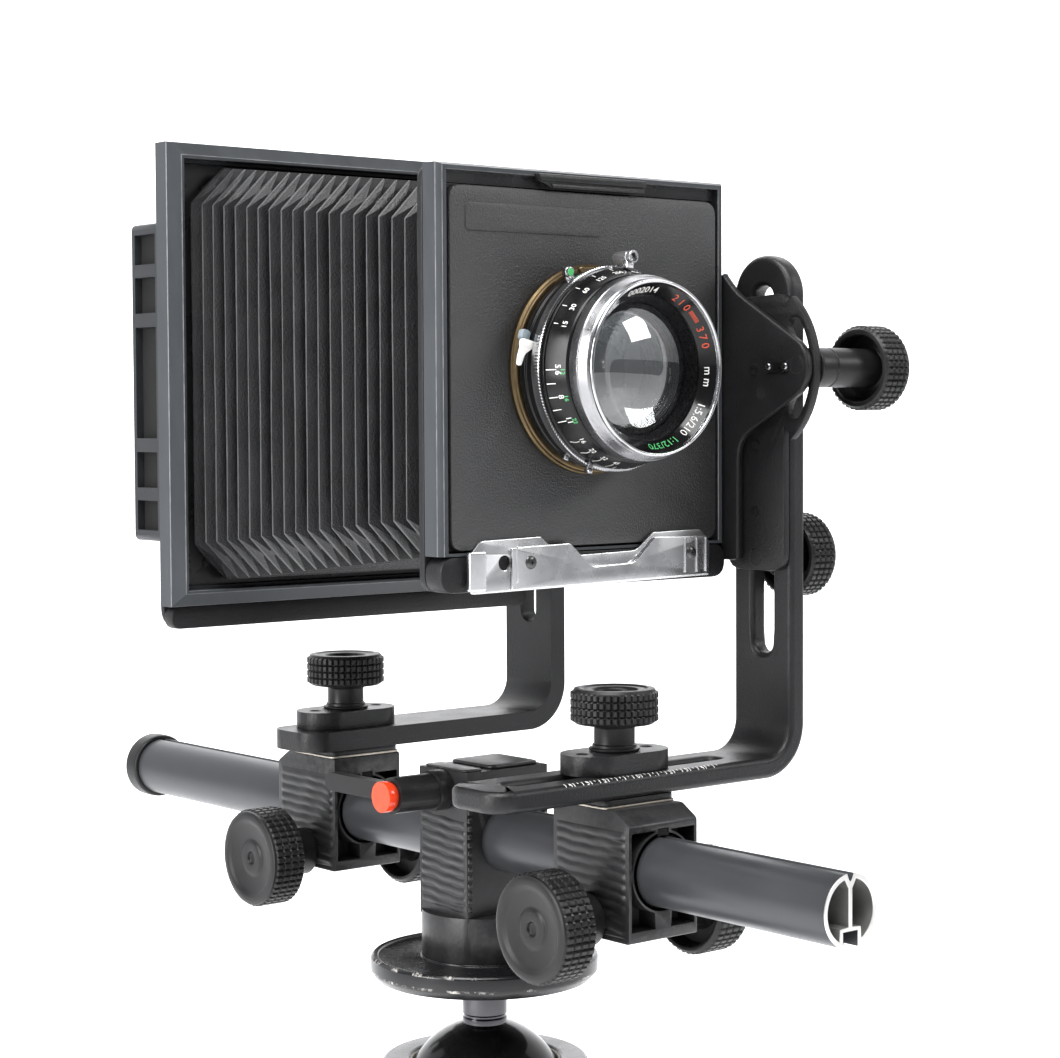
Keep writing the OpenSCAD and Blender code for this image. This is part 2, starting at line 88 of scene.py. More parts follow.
RAIL_Z = mid("rail_end_cap").z
RAIL_R = half_width("monorail")
LENS_Z = mid("lens_board").z
BOARD_Y = low("lens_board").y
HEAD_Y = mid("head_platform").y
LENS_AT = (0, BOARD_Y, LENS_Z)
FORWARD = (0, -1, 0)
UP = (0, 0, 1)
TO_LEFT = (-1, 0, 0)
TO_RIGHT = (1, 0, 0)


# ---------------------------------------------------------------- flat outlines
def round_path(points, radius, steps=4, closed=True):
    """The outline with its corners rounded; a point may bring its own radius as a third number."""
    out = []
    n = len(points)
    for i, point in enumerate(points):
        p = Vector(point[:2])
        r = point[2] if len(point) > 2 else radius
        if r <= 0 or (not closed and i in (0, n - 1)):
            out.append((p.x, p.y))
            continue
        a = Vector(points[i - 1][:2]) - p
        b = Vector(points[(i + 1) % n][:2]) - p
        cut = min(r, a.length * 0.49, b.length * 0.49)
        p0, p1 = p + a.normalized() * cut, p + b.normalized() * cut
        for k in range(steps + 1):
            t = k / steps
            q = p0.lerp(p, t).lerp(p.lerp(p1, t), t)
            out.append((q.x, q.y))
    return out


def rect(w, h, r=0.0, cx=0.0, cy=0.0, steps=4):
    x0, x1, y0, y1 = cx - w / 2, cx + w / 2, cy - h / 2, cy + h / 2
    return round_path([(x0, y0), (x1, y0), (x1, y1), (x0, y1)], r, steps)


def ring(r, cx=0.0, cy=0.0, steps=48):
    return [(cx + r * math.cos(TAU * k / steps), cy + r * math.sin(TAU * k / steps)) for k in range(steps)]


def spin(radius, degrees):
    """The point of a circle about the origin at this angle."""
    a = math.radians(degrees)
    return radius * math.cos(a), radius * math.sin(a)


def arc(r, a0, a1, steps, cu=0.0, cv=0.0):
    return [(cu + u, cv + v) for u, v in (spin(r, a) for a in np.linspace(a0, a1, steps))]


def area(loop):
    return sum(a[0] * b[1] - b[0] * a[1] for a, b in zip(loop, loop[1:] + loop[:1])) / 2


def inset(loop, d):
    """The loop moved to its left by d."""
    out = []
    n = len(loop)
    for i in range(n):
        a, p, b = (Vector(loop[j % n]) for j in (i - 1, i, i + 1))
        e0, e1 = (p - a).normalized(), (b - p).normalized()
        n0, n1 = Vector((-e0.y, e0.x)), Vector((-e1.y, e1.x))
        m = n0 + n1
        k = max(0.5, 1 + n0.dot(n1))
        q = p + m * (d / k)
        out.append((q.x, q.y))
    return out


# ---------------------------------------------------------------- solids
class Shape:
    """Collects faces in millimetres and makes one mesh object of them."""

    def __init__(self):
        self.points = []
        self.faces = []
        self.mats = []

    def add(self, points, faces, mat=0, base=None):
        """Adds points and faces; the faces count from base, or else from the first of these points."""
        base = len(self.points) if base is None else base
        self.points += [tuple(p) for p in points]
        self.faces += [tuple(base + i for i in f) for f in faces]
        self.mats += [mat] * len(faces)
        return self

    def slab(self, loops, w0, w1, place, bevel=0.6, mat=0, steps=2):
        """A plate of the outline loops[0] with holes loops[1:], from w0 to w1, its rims rounded."""
        turned = [l if (area(l) > 0) == (i == 0) else l[::-1] for i, l in enumerate(loops)]
        bevel = min(bevel, abs(w1 - w0) * 0.49)
        stations = [(bevel * (1 - math.sin(a)), w0 + bevel * (1 - math.cos(a)))
                    for a in np.linspace(0, math.pi / 2, steps + 1)]
        stations += [(d, w1 - (w - w0)) for d, w in reversed(stations)]
        if bevel <= 0:
            stations = [(0, w0), (0, w1)]
        flat, faces = [], []
        starts = []
        for d, w in stations:
            starts.append(len(flat))
            for loop in turned:
                flat += [(u, v, w) for u, v in (inset(loop, d) if d else loop)]
        for s0, s1 in zip(starts, starts[1:]):
            base = 0
            for loop in turned:
                n = len(loop)
                faces += [(s0 + base + k, s0 + base + (k + 1) % n, s1 + base + (k + 1) % n, s1 + base + k)
                          for k in range(n)]
                base += n
        for start in (starts[0], starts[-1]):
            cap, base = [], start
            for loop in turned:
                cap.append([Vector((flat[base + k][0], flat[base + k][1], 0)) for k in range(len(loop))])
                base += len(loop)
            faces += [tuple(start + i for i in t) for t in geometry.tessellate_polygon(cap)]
        return self.add([place(*p) for p in flat], faces, mat)

    def lathe(self, profile, at, axis, steps=72, mat=0, wave=None, closed=False):
        """Turns (radius, height) points about axis through at; wave(i, k) changes a point's radius."""
        e, u, v = axes_of(axis)
        at = Vector(at)
        points, rings = [], []
        for i, (r, h) in enumerate(profile):
            if r < 1e-6:
                rings.append([len(points)])
                points.append(at + e * h)
                continue
            row = []
            for k in range(steps):
                a = TAU * k / steps
                rr = r + (wave(i, k) if wave else 0)
                row.append(len(points))
                points.append(at + e * h + (u * math.cos(a) + v * math.sin(a)) * rr)
            rings.append(row)
        faces = []
        pairs = list(zip(rings, rings[1:])) + ([(rings[-1], rings[0])] if closed else [])
        for a, b in pairs:
            for k in range(steps):
                n = (k + 1) % steps
                if len(a) == 1 and len(b) == 1:
                    continue
                if len(a) == 1:
                    faces.append((a[0], b[n], b[k]))
                elif len(b) == 1:
                    faces.append((a[k], a[n], b[0]))
                else:
                    faces.append((a[k], a[n], b[n], b[k]))
        return self.add(points, faces, mat)

    def mesh(self, name, mats=(), recalc=True):
        mesh = bpy.data.meshes.new(name)
        mesh.from_pydata([[c * MM for c in p] for p in self.points], [], self.faces)
        for m in mats:
            mesh.materials.append(MAT[m])
        mesh.polygons.foreach_set("material_index", self.mats)
        if recalc:
            bm = bmesh.new()
            bm.from_mesh(mesh)
            bmesh.ops.remove_doubles(bm, verts=bm.verts, dist=WELD)
            bmesh.ops.recalc_face_normals(bm, faces=bm.faces)
            bm.to_mesh(mesh)
            bm.free()
        return mesh

    def make(self, name, body, mats, slot, replaces=(), sharp=32, recalc=True):
        mesh = self.mesh(name, mats, recalc)
        mesh.validate()
        return piece(name, mesh, body, replaces, sharp)


def piece(name, mesh, body, replaces, sharp):
    """One object of the visual model, smooth except at edges sharper than this many degrees."""
    mesh.shade_smooth()
    mesh.set_sharp_from_angle(angle=math.radians(sharp))
    obj = bpy.data.objects.new(name, mesh)
    bpy.context.scene.collection.objects.link(obj)
    if body:
        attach(obj, body)
    if replaces:
        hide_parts(*replaces)
    return obj


def round_edges(obj, width, angle, segments=2):
    """Bevels the edges sharper than this many degrees."""
    bevel = obj.modifiers.new("bevel", "BEVEL")
    bevel.width = width * MM
    bevel.segments = segments
    bevel.limit_method = "ANGLE"
    bevel.angle_limit = math.radians(angle)
    return bevel


def axes_of(axis):
    """The unit axis and two directions square to it."""
    e = Vector(axis).normalized()
    u = Vector((0, 1, 0)) if abs(e.x) > 0.9 else Vector((1, 0, 0))
    u = (u - e * u.dot(e)).normalized()
    return e, u, e.cross(u)


def across(at, axis):
    """Outline square to the axis through at, thickness along the axis."""
    e, u, v = axes_of(axis)
    at = Vector(at)
    return lambda a, b, w: at + u * a + v * b + e * w


def on_x(u, v, w):
    """Outline in (Y, Z), thickness along X."""
    return (w, u, v)


def on_y(u, v, w):
    """Outline in (X, Z), thickness along Y."""
    return (u, w, v)


def on_z(u, v, w):
    """Outline in (X, Y), thickness along Z."""
    return (u, v, w)


def arc_profile(points, radius=0.5, steps=3):
    return round_path(points, radius, steps, closed=False)


# ---------------------------------------------------------------- materials
MAT = {}


class Nodes:
    """Short names for the shader nodes of one material."""

    def __init__(self, name):
        self.mat = bpy.data.materials.new(name)
        self.mat.use_nodes = True
        self.tree = self.mat.node_tree
        self.shader = self.tree.nodes["Principled BSDF"]
        self.coords = self.new("ShaderNodeTexCoord").outputs["Object"]
        MAT[name] = self.mat

    def new(self, kind):
        return self.tree.nodes.new(kind)

    def link(self, a, b):
        self.tree.links.new(a, b)

    def mapped(self, scale=(1, 1, 1)):
        m = self.new("ShaderNodeMapping")
        m.inputs["Scale"].default_value = scale
        self.link(self.coords, m.inputs["Vector"])
        return m.outputs["Vector"]

    def noise(self, scale, detail=3.0, rough=0.55, stretch=(1, 1, 1)):
        n = self.new("ShaderNodeTexNoise")
        n.inputs["Scale"].default_value = scale
        n.inputs["Detail"].default_value = detail
        n.inputs["Roughness"].default_value = rough
        self.link(self.mapped(stretch), n.inputs["Vector"])
        return n.outputs["Fac"]

    def cells(self, scale):
        n = self.new("ShaderNodeTexVoronoi")
        n.inputs["Scale"].default_value = scale
        self.link(self.mapped(), n.inputs["Vector"])
        return n.outputs["Distance"]

    def convex_edges(self):
        return self.span(self.new("ShaderNodeNewGeometry").outputs["Pointiness"], 0.52, 0.6)

    def span(self, value, lo, hi, to_lo=0.0, to_hi=1.0):
        n = self.new("ShaderNodeMapRange")
        n.inputs["From Min"].default_value = lo
        n.inputs["From Max"].default_value = hi
        n.inputs["To Min"].default_value = to_lo
        n.inputs["To Max"].default_value = to_hi
        self.link(value, n.inputs["Value"])
        return n.outputs["Result"]

    def math(self, op, a, b):
        n = self.new("ShaderNodeMath")
        n.operation = op
        for i, x in enumerate((a, b)):
            if isinstance(x, (int, float)):
                n.inputs[i].default_value = x
            else:
                self.link(x, n.inputs[i])
        return n.outputs["Value"]

    def mix(self, fac, a, b):
        n = self.new("ShaderNodeMix")
        n.data_type = "RGBA"
        self.link(fac, n.inputs["Factor"])
        for socket, x in ((n.inputs["A"], a), (n.inputs["B"], b)):
            if isinstance(x, tuple):
                socket.default_value = (*x, 1)
            else:
                self.link(x, socket)
        return n.outputs["Result"]

    def bump(self, height, distance):
        n = self.new("ShaderNodeBump")
        n.inputs["Distance"].default_value = distance * MM
        self.link(height, n.inputs["Height"])
        return n.outputs["Normal"]

    def set(self, **values):
        """Sets the shader's inputs by name, each to a number, a colour or another node's output."""
        for key, x in values.items():
            socket = self.shader.inputs[key.replace("_", " ")]
            if isinstance(x, tuple):
                socket.default_value = (*x, 1)
            elif isinstance(x, (int, float)):
                socket.default_value = x
            else:
                self.link(x, socket)
        return self


def grained(name, dark, light, rough, grain, depth, worn=None, worn_amount=0.5, metal=0.0, blotch=40,
            cells=False, specular=0.3, rough_span=0.12, stretch=(1, 1, 1)):
    """Painted or moulded surface: two tones in soft blotches, fine grain bump, lighter worn edges."""
    n = Nodes(name)
    soft = n.noise(blotch, 4, 0.6, stretch)
    fine = n.cells(grain) if cells else n.noise(grain, 2, 0.6)
    base = n.mix(n.span(soft, 0.35, 0.65), dark, light)
    if worn:
        broken = n.span(n.noise(260, 3, 0.7), 0.4, 0.62)
        rub = n.math("MULTIPLY", n.math("MULTIPLY", n.convex_edges(), broken), worn_amount)
        base = n.mix(rub, base, worn)
    n.set(Base_Color=base, Roughness=n.span(soft, 0.3, 0.7, rough - rough_span / 2, rough + rough_span / 2),
          Metallic=metal, Normal=n.bump(fine, depth), Specular_IOR_Level=specular)
    return n


def turned_metal(name, tone, rough, grooves=0.0, scale=9000, tint=None):
    """Bare or plated metal with fine turning or brushing marks and faint smudges."""
    n = Nodes(name)
    smudge = n.noise(55, 3, 0.6)
    line = n.noise(scale, 2, 0.5, (0.02, 1, 0.02))
    base = n.mix(n.span(smudge, 0.35, 0.7), tone, tint or tuple(c * 0.86 for c in tone))
    n.set(Base_Color=base, Metallic=1.0, Roughness=n.span(smudge, 0.3, 0.75, rough * 0.75, rough * 1.35))
    if grooves:
        n.set(Normal=n.bump(line, grooves))
    return n


def make_materials():
    grained("powder", (0.0068, 0.0068, 0.0075), (0.0095, 0.0095, 0.0105), 0.4, 1100, 0.2, blotch=30, specular=0.4)
    # Darker, less glossy copy of the powder coat for the slider plates, cheeks and frame castings; its darker tone is
    # painted shade for the shadow they stand in.
    grained("powder_soft_painted_shade", (0.006, 0.006, 0.0066), (0.0085, 0.0085, 0.0095), 0.44, 900, 0.24, blotch=30,
            specular=0.32)
    grained("board", (0.0165, 0.0165, 0.0172), (0.021, 0.021, 0.0216), 0.46, 980, 0.42, blotch=25, specular=0.8)
    grained("frame_plastic", (0.034, 0.037, 0.041), (0.043, 0.047, 0.052), 0.42, 700, 0.05, blotch=60, specular=0.4,
            stretch=(1, 1, 0.25))
    # Pale band for the frames' arrises: partly wear, partly a painted highlight where the edges catch the light.
    grained("frame_edge_wear_and_highlight", (0.1, 0.105, 0.11), (0.17, 0.175, 0.18), 0.4, 700, 0.03, blotch=160)
    grained("frame_dark", (0.02, 0.0215, 0.024), (0.026, 0.028, 0.031), 0.45, 700, 0.05, blotch=50)
    grained("lining", (0.014, 0.014, 0.015), (0.022, 0.022, 0.023), 0.28, 900, 0.03, blotch=20, specular=0.5)
    grained("nylon", (0.0085, 0.0085, 0.0093), (0.0125, 0.0125, 0.0135), 0.38, 620, 0.08, blotch=45,
            worn=(0.07, 0.07, 0.07), worn_amount=0.5, specular=0.5)
    grained("knob", (0.0085, 0.0085, 0.009), (0.012, 0.012, 0.0125), 0.4, 900, 0.03, blotch=70,
            worn=(0.05, 0.05, 0.052), worn_amount=0.5)
    grained("rail", (0.056, 0.058, 0.062), (0.066, 0.068, 0.073), 0.33, 2400, 0.012, metal=0.5, blotch=14)
    grained("rail_inside", (0.2, 0.2, 0.19), (0.27, 0.27, 0.25), 0.55, 2400, 0.03, metal=0.3, blotch=40)
    grained("leatherette", (0.009, 0.009, 0.0098), (0.0125, 0.0125, 0.0135), 0.46, 1100, 0.2, cells=True, blotch=45,
            specular=0.4)
    # Lighter copy of the leatherette for the flat crest bands of the pleats: a painted highlight where the folds
    # catch the light.
    grained("leatherette_crest_painted_highlight", (0.035, 0.036, 0.039), (0.055, 0.056, 0.06), 0.42, 1100, 0.15, cells=True, blotch=120,
            specular=0.5)
    grained("head_black", (0.007, 0.007, 0.0078), (0.01, 0.01, 0.011), 0.33, 1400, 0.02, metal=0.2, blotch=40)
    grained("gloss_black", (0.004, 0.004, 0.0045), (0.006, 0.006, 0.0065), 0.14, 1800, 0.004, blotch=60)
    grained("matt_black", (0.005, 0.005, 0.005), (0.008, 0.008, 0.008), 0.75, 1400, 0.04, blotch=80)
    grained("lens_black", (0.004, 0.004, 0.0045), (0.006, 0.006, 0.0065), 0.22, 2600, 0.006, metal=0.15, blotch=80,
            worn=(0.3, 0.3, 0.28), worn_amount=0.35)
    grained("glitter_black", (0.008, 0.008, 0.009), (0.02, 0.02, 0.022), 0.3, 2200, 0.12, metal=0.5, cells=True,
            blotch=900)
    grained("screw_black", (0.01, 0.01, 0.01), (0.016, 0.016, 0.016), 0.32, 1400, 0.02, metal=0.4, blotch=200)
    grained("rubber", (0.012, 0.012, 0.012), (0.018, 0.018, 0.018), 0.8, 800, 0.08)
    grained("red", (0.78, 0.045, 0.01), (0.84, 0.06, 0.014), 0.2, 900, 0.005, blotch=200, specular=0.6)
    grained("cream", (0.55, 0.5, 0.4), (0.66, 0.61, 0.5), 0.5, 900, 0.03)
    grained("white_mark", (0.72, 0.71, 0.68), (0.86, 0.85, 0.82), 0.5, 1800, 0.01, blotch=400)
    grained("green_mark", (0.06, 0.4, 0.12), (0.1, 0.52, 0.18), 0.5, 1800, 0.01, blotch=400)
    grained("red_mark", (0.62, 0.07, 0.03), (0.75, 0.1, 0.04), 0.5, 1800, 0.01, blotch=400)
    grained("grey_plastic", (0.2, 0.24, 0.27), (0.26, 0.3, 0.33), 0.45, 900, 0.03)
    turned_metal("chrome", (0.6, 0.6, 0.61), 0.14, 0.01)
    turned_metal("satin_metal", (0.33, 0.33, 0.34), 0.27, 0.03)
    turned_metal("bright_aluminium", (0.78, 0.78, 0.79), 0.27, 0.02, 5200)
    turned_metal("cut_aluminium", (0.8, 0.79, 0.77), 0.4, 0.05, 3000)
    turned_metal("steel", (0.085, 0.085, 0.09), 0.16, 0.015)
    turned_metal("steel_dark", (0.12, 0.12, 0.12), 0.3, 0.02)
    turned_metal("brass", (0.15, 0.108, 0.058), 0.42, 0.04, 4000, tint=(0.1, 0.072, 0.04))
    turned_metal("swing_metal", (0.5, 0.46, 0.4), 0.42, 0.03, 2600)
    turned_metal("rack_steel", (0.08, 0.08, 0.085), 0.42, 0.03)
    rim = half_width("head_platform")
    scuffed("scuffed_black", [(high("head_platform").z - 0.6, 0.8, rim - 1.3),
                              (low("head_platform").z + 4.6, 0.5, rim - 0.8),
                              (high("ball_collar").z - 1.1, 1.0, half_width("ball_collar") - 2.0)])
    make_glass()


def scuffed(name, edges):
    """Black paint rubbed through along round edges, each (height, half width, least radius) in mm.
    Heights are those at rest; the pattern moves with the piece."""
    n = grained(name, (0.006, 0.006, 0.0068), (0.0085, 0.0085, 0.0095), 0.26, 1400, 0.02, metal=0.1, blotch=40,
                specular=0.5)
    split = n.new("ShaderNodeSeparateXYZ")
    n.link(n.coords, split.inputs[0])
    x, y, z = split.outputs
    y = n.math("SUBTRACT", y, HEAD_Y * MM)
    r = n.math("SQRT", n.math("ADD", n.math("MULTIPLY", x, x), n.math("MULTIPLY", y, y)), 0)
    base = n.shader.inputs["Base Color"].links[0].from_socket
    total = 0.0
    for height, half, least in edges:
        away = n.math("ABSOLUTE", n.math("SUBTRACT", z, height * MM), 0)
        near = n.span(away, (half + 0.3) * MM, half * MM)
        total = n.math("ADD", n.math("MULTIPLY", near, n.span(r, (least - 0.3) * MM, least * MM)), total)
    mask = n.math("MULTIPLY", n.span(n.noise(60, 5, 0.75), 0.5, 0.58), n.span(n.noise(700, 3, 0.7), 0.44, 0.56))
    n.set(Base_Color=n.mix(n.math("MULTIPLY", mask, total), base, (0.5, 0.48, 0.45)))


def make_glass():
    n = Nodes("glass")
    haze = n.noise(35, 3, 0.6)
    n.set(Base_Color=n.mix(n.span(haze, 0.3, 0.7), (0.93, 0.96, 0.97), (0.97, 0.98, 0.98)),
          Roughness=n.span(haze, 0.4, 0.8, 0.0, 0.02), Transmission_Weight=1.0, IOR=1.24, Coat_Weight=1.0,
          Coat_IOR=2.1, Coat_Roughness=0.015)
    n = Nodes("ground_glass")
    frost = n.noise(2600, 2, 0.6)
    n.set(Base_Color=n.mix(n.span(frost, 0.4, 0.6), (0.5, 0.52, 0.52), (0.62, 0.64, 0.63)), Roughness=0.55,
          Normal=n.bump(frost, 0.02), Transmission_Weight=0.35, IOR=1.5)


make_materials()


# ---------------------------------------------------------------- CAD nodes that keep their shape
def dress(node, mat, bevel):
    """Gives a carried-over CAD node its material and small rounded edges."""
    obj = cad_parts[node]
    obj.data.materials.clear()
    obj.data.materials.append(MAT[mat])
    if bevel:
        obj.modifiers.new("weld", "WELD").merge_threshold = WELD
        round_edges(obj, bevel, 38, 4 if bevel > 2 else 2).harden_normals = True


# ---------------------------------------------------------------- bellows
BELLOWS_FOLDS = 20
BELLOWS_SPANS = [3, 1, 3, 3, 2, 3, 1, 1, 3]  # folds from each body to the next; they add up to BELLOWS_FOLDS
FOLD_ROWS = ((0.0, 1), (0.1, 1), (0.42, 0.12), (0.5, 0), (0.6, 0), (0.68, 0.12))  # share of a fold, phase
BELLOWS_HALF = (102, 82.5)  # rear and front end
BELLOWS_CORNER = (18.5, 17)
VALLEY_CORNER = 2.0
FOLD_DEPTH = 8.6
BELLOWS_TUCK = 7.5  # how far the skin reaches into the rear frame
BELLOWS_SKIN = 0.5


def bellows_ring(t, phase):
    """Outline at share t of the length. phase 0 is a crest, 1 a valley; corners fold the other way."""
    half, corner = (a + (b - a) * t for a, b in (BELLOWS_HALF, BELLOWS_CORNER))
    side = half - FOLD_DEPTH * phase
    cut = corner * (1 - phase) + VALLEY_CORNER * phase
    pts = [(side, side - cut), (side - cut, side), (cut - side, side), (-side, side - cut),
           (-side, cut - side), (cut - side, -side), (side - cut, -side), (side, cut - side)]
    out = []
    for i, a in enumerate(pts):
        b = pts[(i + 1) % 8]
        n = 8 if i % 2 else 2
        out += [(a[0] + (b[0] - a[0]) * k / n, a[1] + (b[1] - a[1]) * k / n) for k in range(n)]
    return out


def bellows_row(y, d, t, phase):
    """The outline as points, its valleys pressed in unevenly and the row a little out of true between the ends."""
    row = []
    for k, (x, z) in enumerate(bellows_ring(t, phase)):
        wobble = noise.noise(Vector((x * 0.02, y * 0.35, z * 0.02))) * 0.55
        sag = 0.35 * math.sin(k * 0.7 + d)
        n = Vector((x, 0, z)).normalized()
        row.append((x + n.x * (wobble - 0.5) * phase, y + (wobble + sag * 0.3) * (0 < t < 1),
                    LENS_Z + z + n.z * (wobble - 0.5) * phase))
    return row


def make_bellows():
    """The pleated skin, in one piece for each joint it crosses; neighbours share the row where they meet."""
    y0 = high("bellows").y + BELLOWS_TUCK
    length = y0 - low("bellows").y
    pitch = length / BELLOWS_FOLDS
    stations = [((i + share) * pitch, phase) for i in range(BELLOWS_FOLDS) for share, phase in FOLD_ROWS]
    stations.append((length, 1))
    rows = [bellows_row(y0 - d, d, d / length, phase) for d, phase in stations]
    count = len(rows[0])
    start = 0
    for i, folds in enumerate(BELLOWS_SPANS):
        end = start + folds * len(FOLD_ROWS)
        shape = Shape()
        for j in range(start, end):
            # Crest bands take the lighter leatherette, a painted highlight on the folds.
            crest = stations[j][1] == 0 and stations[j + 1][1] == 0
            r = (j - start) * count
            shape.add(rows[j], [(r + k, r + (k + 1) % count, r + count + (k + 1) % count, r + count + k)
                                for k in range(count)], int(crest), 0)
        shape.add(rows[end], [])
        obj = shape.make(f"bellows_part_{i + 1}", None, ["leatherette", "leatherette_crest_painted_highlight"], "bellows_leatherette",
                         ("bellows",) if i == 0 else (), sharp=30)
        skin = obj.modifiers.new("thickness", "SOLIDIFY")
        skin.thickness = BELLOWS_SKIN * MM
        skin.offset = -1
        ends = [(0, (y0 - stations[j][0]) * MM, LENS_Z * MM) for j in (start, end)]
        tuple(ends[0])
        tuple(ends[1])
        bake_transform(obj)
        start = end


make_bellows()


# ---------------------------------------------------------------- knobs
KNURL_ROWS = 4


def knurl_rows(r, h0, h1, depth):
    """Profile stations (radius, height, in a groove) of a knurled band with flat-topped rows."""
    out = [(r - depth, h0, True)]
    pitch = (h1 - h0) / KNURL_ROWS
    for i in range(KNURL_ROWS):
        out += [(r, h0 + pitch * (i + 0.17), False), (r, h0 + pitch * (i + 0.83), False),
                (r - depth, h0 + pitch * (i + 1), True)]
    return out


def knurled_knob(node, at, axis, r, h0, h1, inner, outer, name=None, body=None, teeth=40, depth=1.05):
    """A knob whose rim is a grid of studs. inner and outer are (radius, height) points that close the
    profile on the axis, before and after the knurled band."""
    band = knurl_rows(r, h0, h1, depth)
    profile = inner + [(q[0], q[1]) for q in band] + outer
    first = len(inner)

    def wave(i, k):
        grooved = not first <= i < first + len(band) or band[i - first][2]
        return -depth if k % 4 == 0 and not grooved else 0

    shape = Shape().lathe(profile, at, axis, teeth * 4, wave=wave)
    return shape.make(name or f"{node}_grip", body or node, ["knob"], "knob_plastic", (node,), sharp=28)


def swing_knob(side):
    node = f"{side}_swing_knob"
    lo, hi, c = box_of(node)
    z0, z1 = lo.z, hi.z
    r = half_width(node)
    stem = [(4.4, 51.4), (11.6, 51.5), (11.8, 52.6), (10.2, 52.9), (10.2, 54.2), (9.4, 54.5), (9.4, 62), (11.5, 63.6),
            (r - 2.4, 63.8)]
    inner = arc_profile([(0, z0), (4.2, z0), (4.4, z0 + 0.4)] + [(q, RAIL_Z + h) for q, h in stem], 0.4)
    outer = arc_profile([(r - 1.8, z1 - 0.2), (r - 3.0, z1), (15.4, z1), (14.6, z1 - 0.7), (11.2, z1 - 0.7),
                         (10.0, z1 - 1.6), (8.8, z1 - 6.5), (0, z1 - 7)], 0.5)
    knurled_knob(node, (c.x, c.y, 0), (0, 0, 1), r, z1 - 15.2, z1 - 1.4, inner, outer)


def rail_side_knob(side, kind):
    """Focus knob on the left, lock knob on the right; heights run outward from the block."""
    node = f"{side}_{kind}_knob"
    lo, hi, c = box_of(node)
    left = kind == "focus"
    start, out = (-hi.x, -lo.x) if left else (lo.x, hi.x)
    r = half_height(node)
    shaft = 3.0 if left else 4.0
    hub = [(0, start), (shaft - 0.2, start), (shaft, start + 0.3), (shaft, 21.9), (11.4, 22.0), (12.0, 22.6)]
    if left:
        inner = arc_profile(hub + [(12.0, out - 19.4), (r - 3.2, out - 20), (r - 1.6, out - 19)], 0.5)
    else:
        inner = arc_profile(hub + [(12.0, out - 13.5)], 0.3)
        inner += arc_profile([(14, out - 11), (20.6, out - 11.5), (21.2, out - 19.6), (r - 2.2, out - 20),
                              (r - 1.4, out - 19)], 0.5)
    outer = arc_profile([(r - 1.2, out - 0.6), (r - 2.6, out), (r - 5.2, out), (r - 7.6, out - 1.2),
                         (9.5, out - 2.4), (8.2, out - 1.4), (3.4, out - 1.4), (3.0, out - 3.0),
                         (0, out - 3.2)], 0.7)
    knurled_knob(node, (0, c.y, c.z), (-1, 0, 0) if left else (1, 0, 0), r, out - 18.4, out - 1.7, inner, outer,
                 teeth=46, depth=0.95)


def standard_knob(side, kind):
    """Rise and tilt lock knobs: bolt, sleeve and a hollow-backed grip, heights along +X."""
    node = f"{side}_{kind}_knob"
    lo, hi, c = box_of(node)
    x0, x1 = lo.x, hi.x
    r = half_height(node)
    arm = high(f"{side}_l_arm").x
    bolt = 4.0
    back = x1 - 17
    if kind == "tilt":
        sleeve, start = 9.4, arm - 9.6
        rest = [(sleeve, start + 9), (sleeve - 0.35, start + 9.4), (sleeve - 0.35, start + 10),
                (sleeve, start + 10.4), (sleeve - 0.2, back + 8)]
    else:
        sleeve, start = 9.9, arm + 0.4
        rest = [(sleeve, back + 8)]
    inner = arc_profile([(0, x0), (bolt, x0 + 0.1), (bolt, start), (sleeve - 0.4, start), (sleeve, start + 0.5),
                         *rest, (12, back + 9.4), (r - 4.8, back + 9), (r - 4.2, back + 0.6), (r - 3.4, back),
                         (r - 1.8, back + 0.2)], 0.35)
    outer = arc_profile([(r - 1.4, x1 - 0.4), (r - 2.8, x1), (15.2, x1), (14.0, x1 - 1.4), (8.4, x1 - 1.5),
                         (7.9, x1 - 0.9), (3.0, x1 - 0.9), (2.6, x1 - 2.2), (0, x1 - 2.4)], 0.5)
    knurled_knob(node, (0, c.y, c.z), (1, 0, 0), r, back + 1.2, x1 - 1.5, inner, outer)


def swing_plate(side):
    """Turntable: a pale lower plate under a black upper one."""
    node = f"{side}_swing_plate"
    lo, hi, c = box_of(node)
    w, d = hi.x - lo.x, hi.y - lo.y
    plate = Shape()
    plate.slab([rect(w, d, 4, c.x, c.y)], lo.z, lo.z + 0.9, on_z, 0.2, 0)
    plate.slab([rect(w - 1.2, d - 1.2, 4, c.x, c.y)], lo.z + 1.0, hi.z, on_z, 0.4, 1)
    plate.make(f"{side}_swing_turntable", f"{side}_swing", ["swing_metal", "powder"], "swing_metal", (node,))


for side in ("front", "rear"):
    swing_plate(side)
    swing_knob(side)
    rail_side_knob(side, "focus")
    rail_side_knob(side, "lock")
    standard_knob(side, "rise")
    standard_knob(side, "tilt")


# ---------------------------------------------------------------- grey frames
def frame_loft(side, stations):
    """Nested rectangles (half width, top, bottom, y, material of the band that follows)."""
    shape = Shape()
    for i, (w, top, bottom, y, mat) in enumerate(stations):
        a = 4 * i
        faces = [(a + k, a + (k + 1) % 4, a + 4 + (k + 1) % 4, a + 4 + k) for k in range(4)]
        shape.add([(-w, y, bottom), (w, y, bottom), (w, y, top), (-w, y, top)],
                  faces if i + 1 < len(stations) else [], mat, 0)
    shape.make(f"{side}_frame_moulding", f"{side}_frame", ["frame_plastic", "frame_edge_wear_and_highlight", "frame_dark", "lining"],
               "frame_plastic", (f"{side}_bellows_frame",), sharp=14)


REAR_OPENING = 92  # half widths of the openings
FRONT_OPENING = 81.4


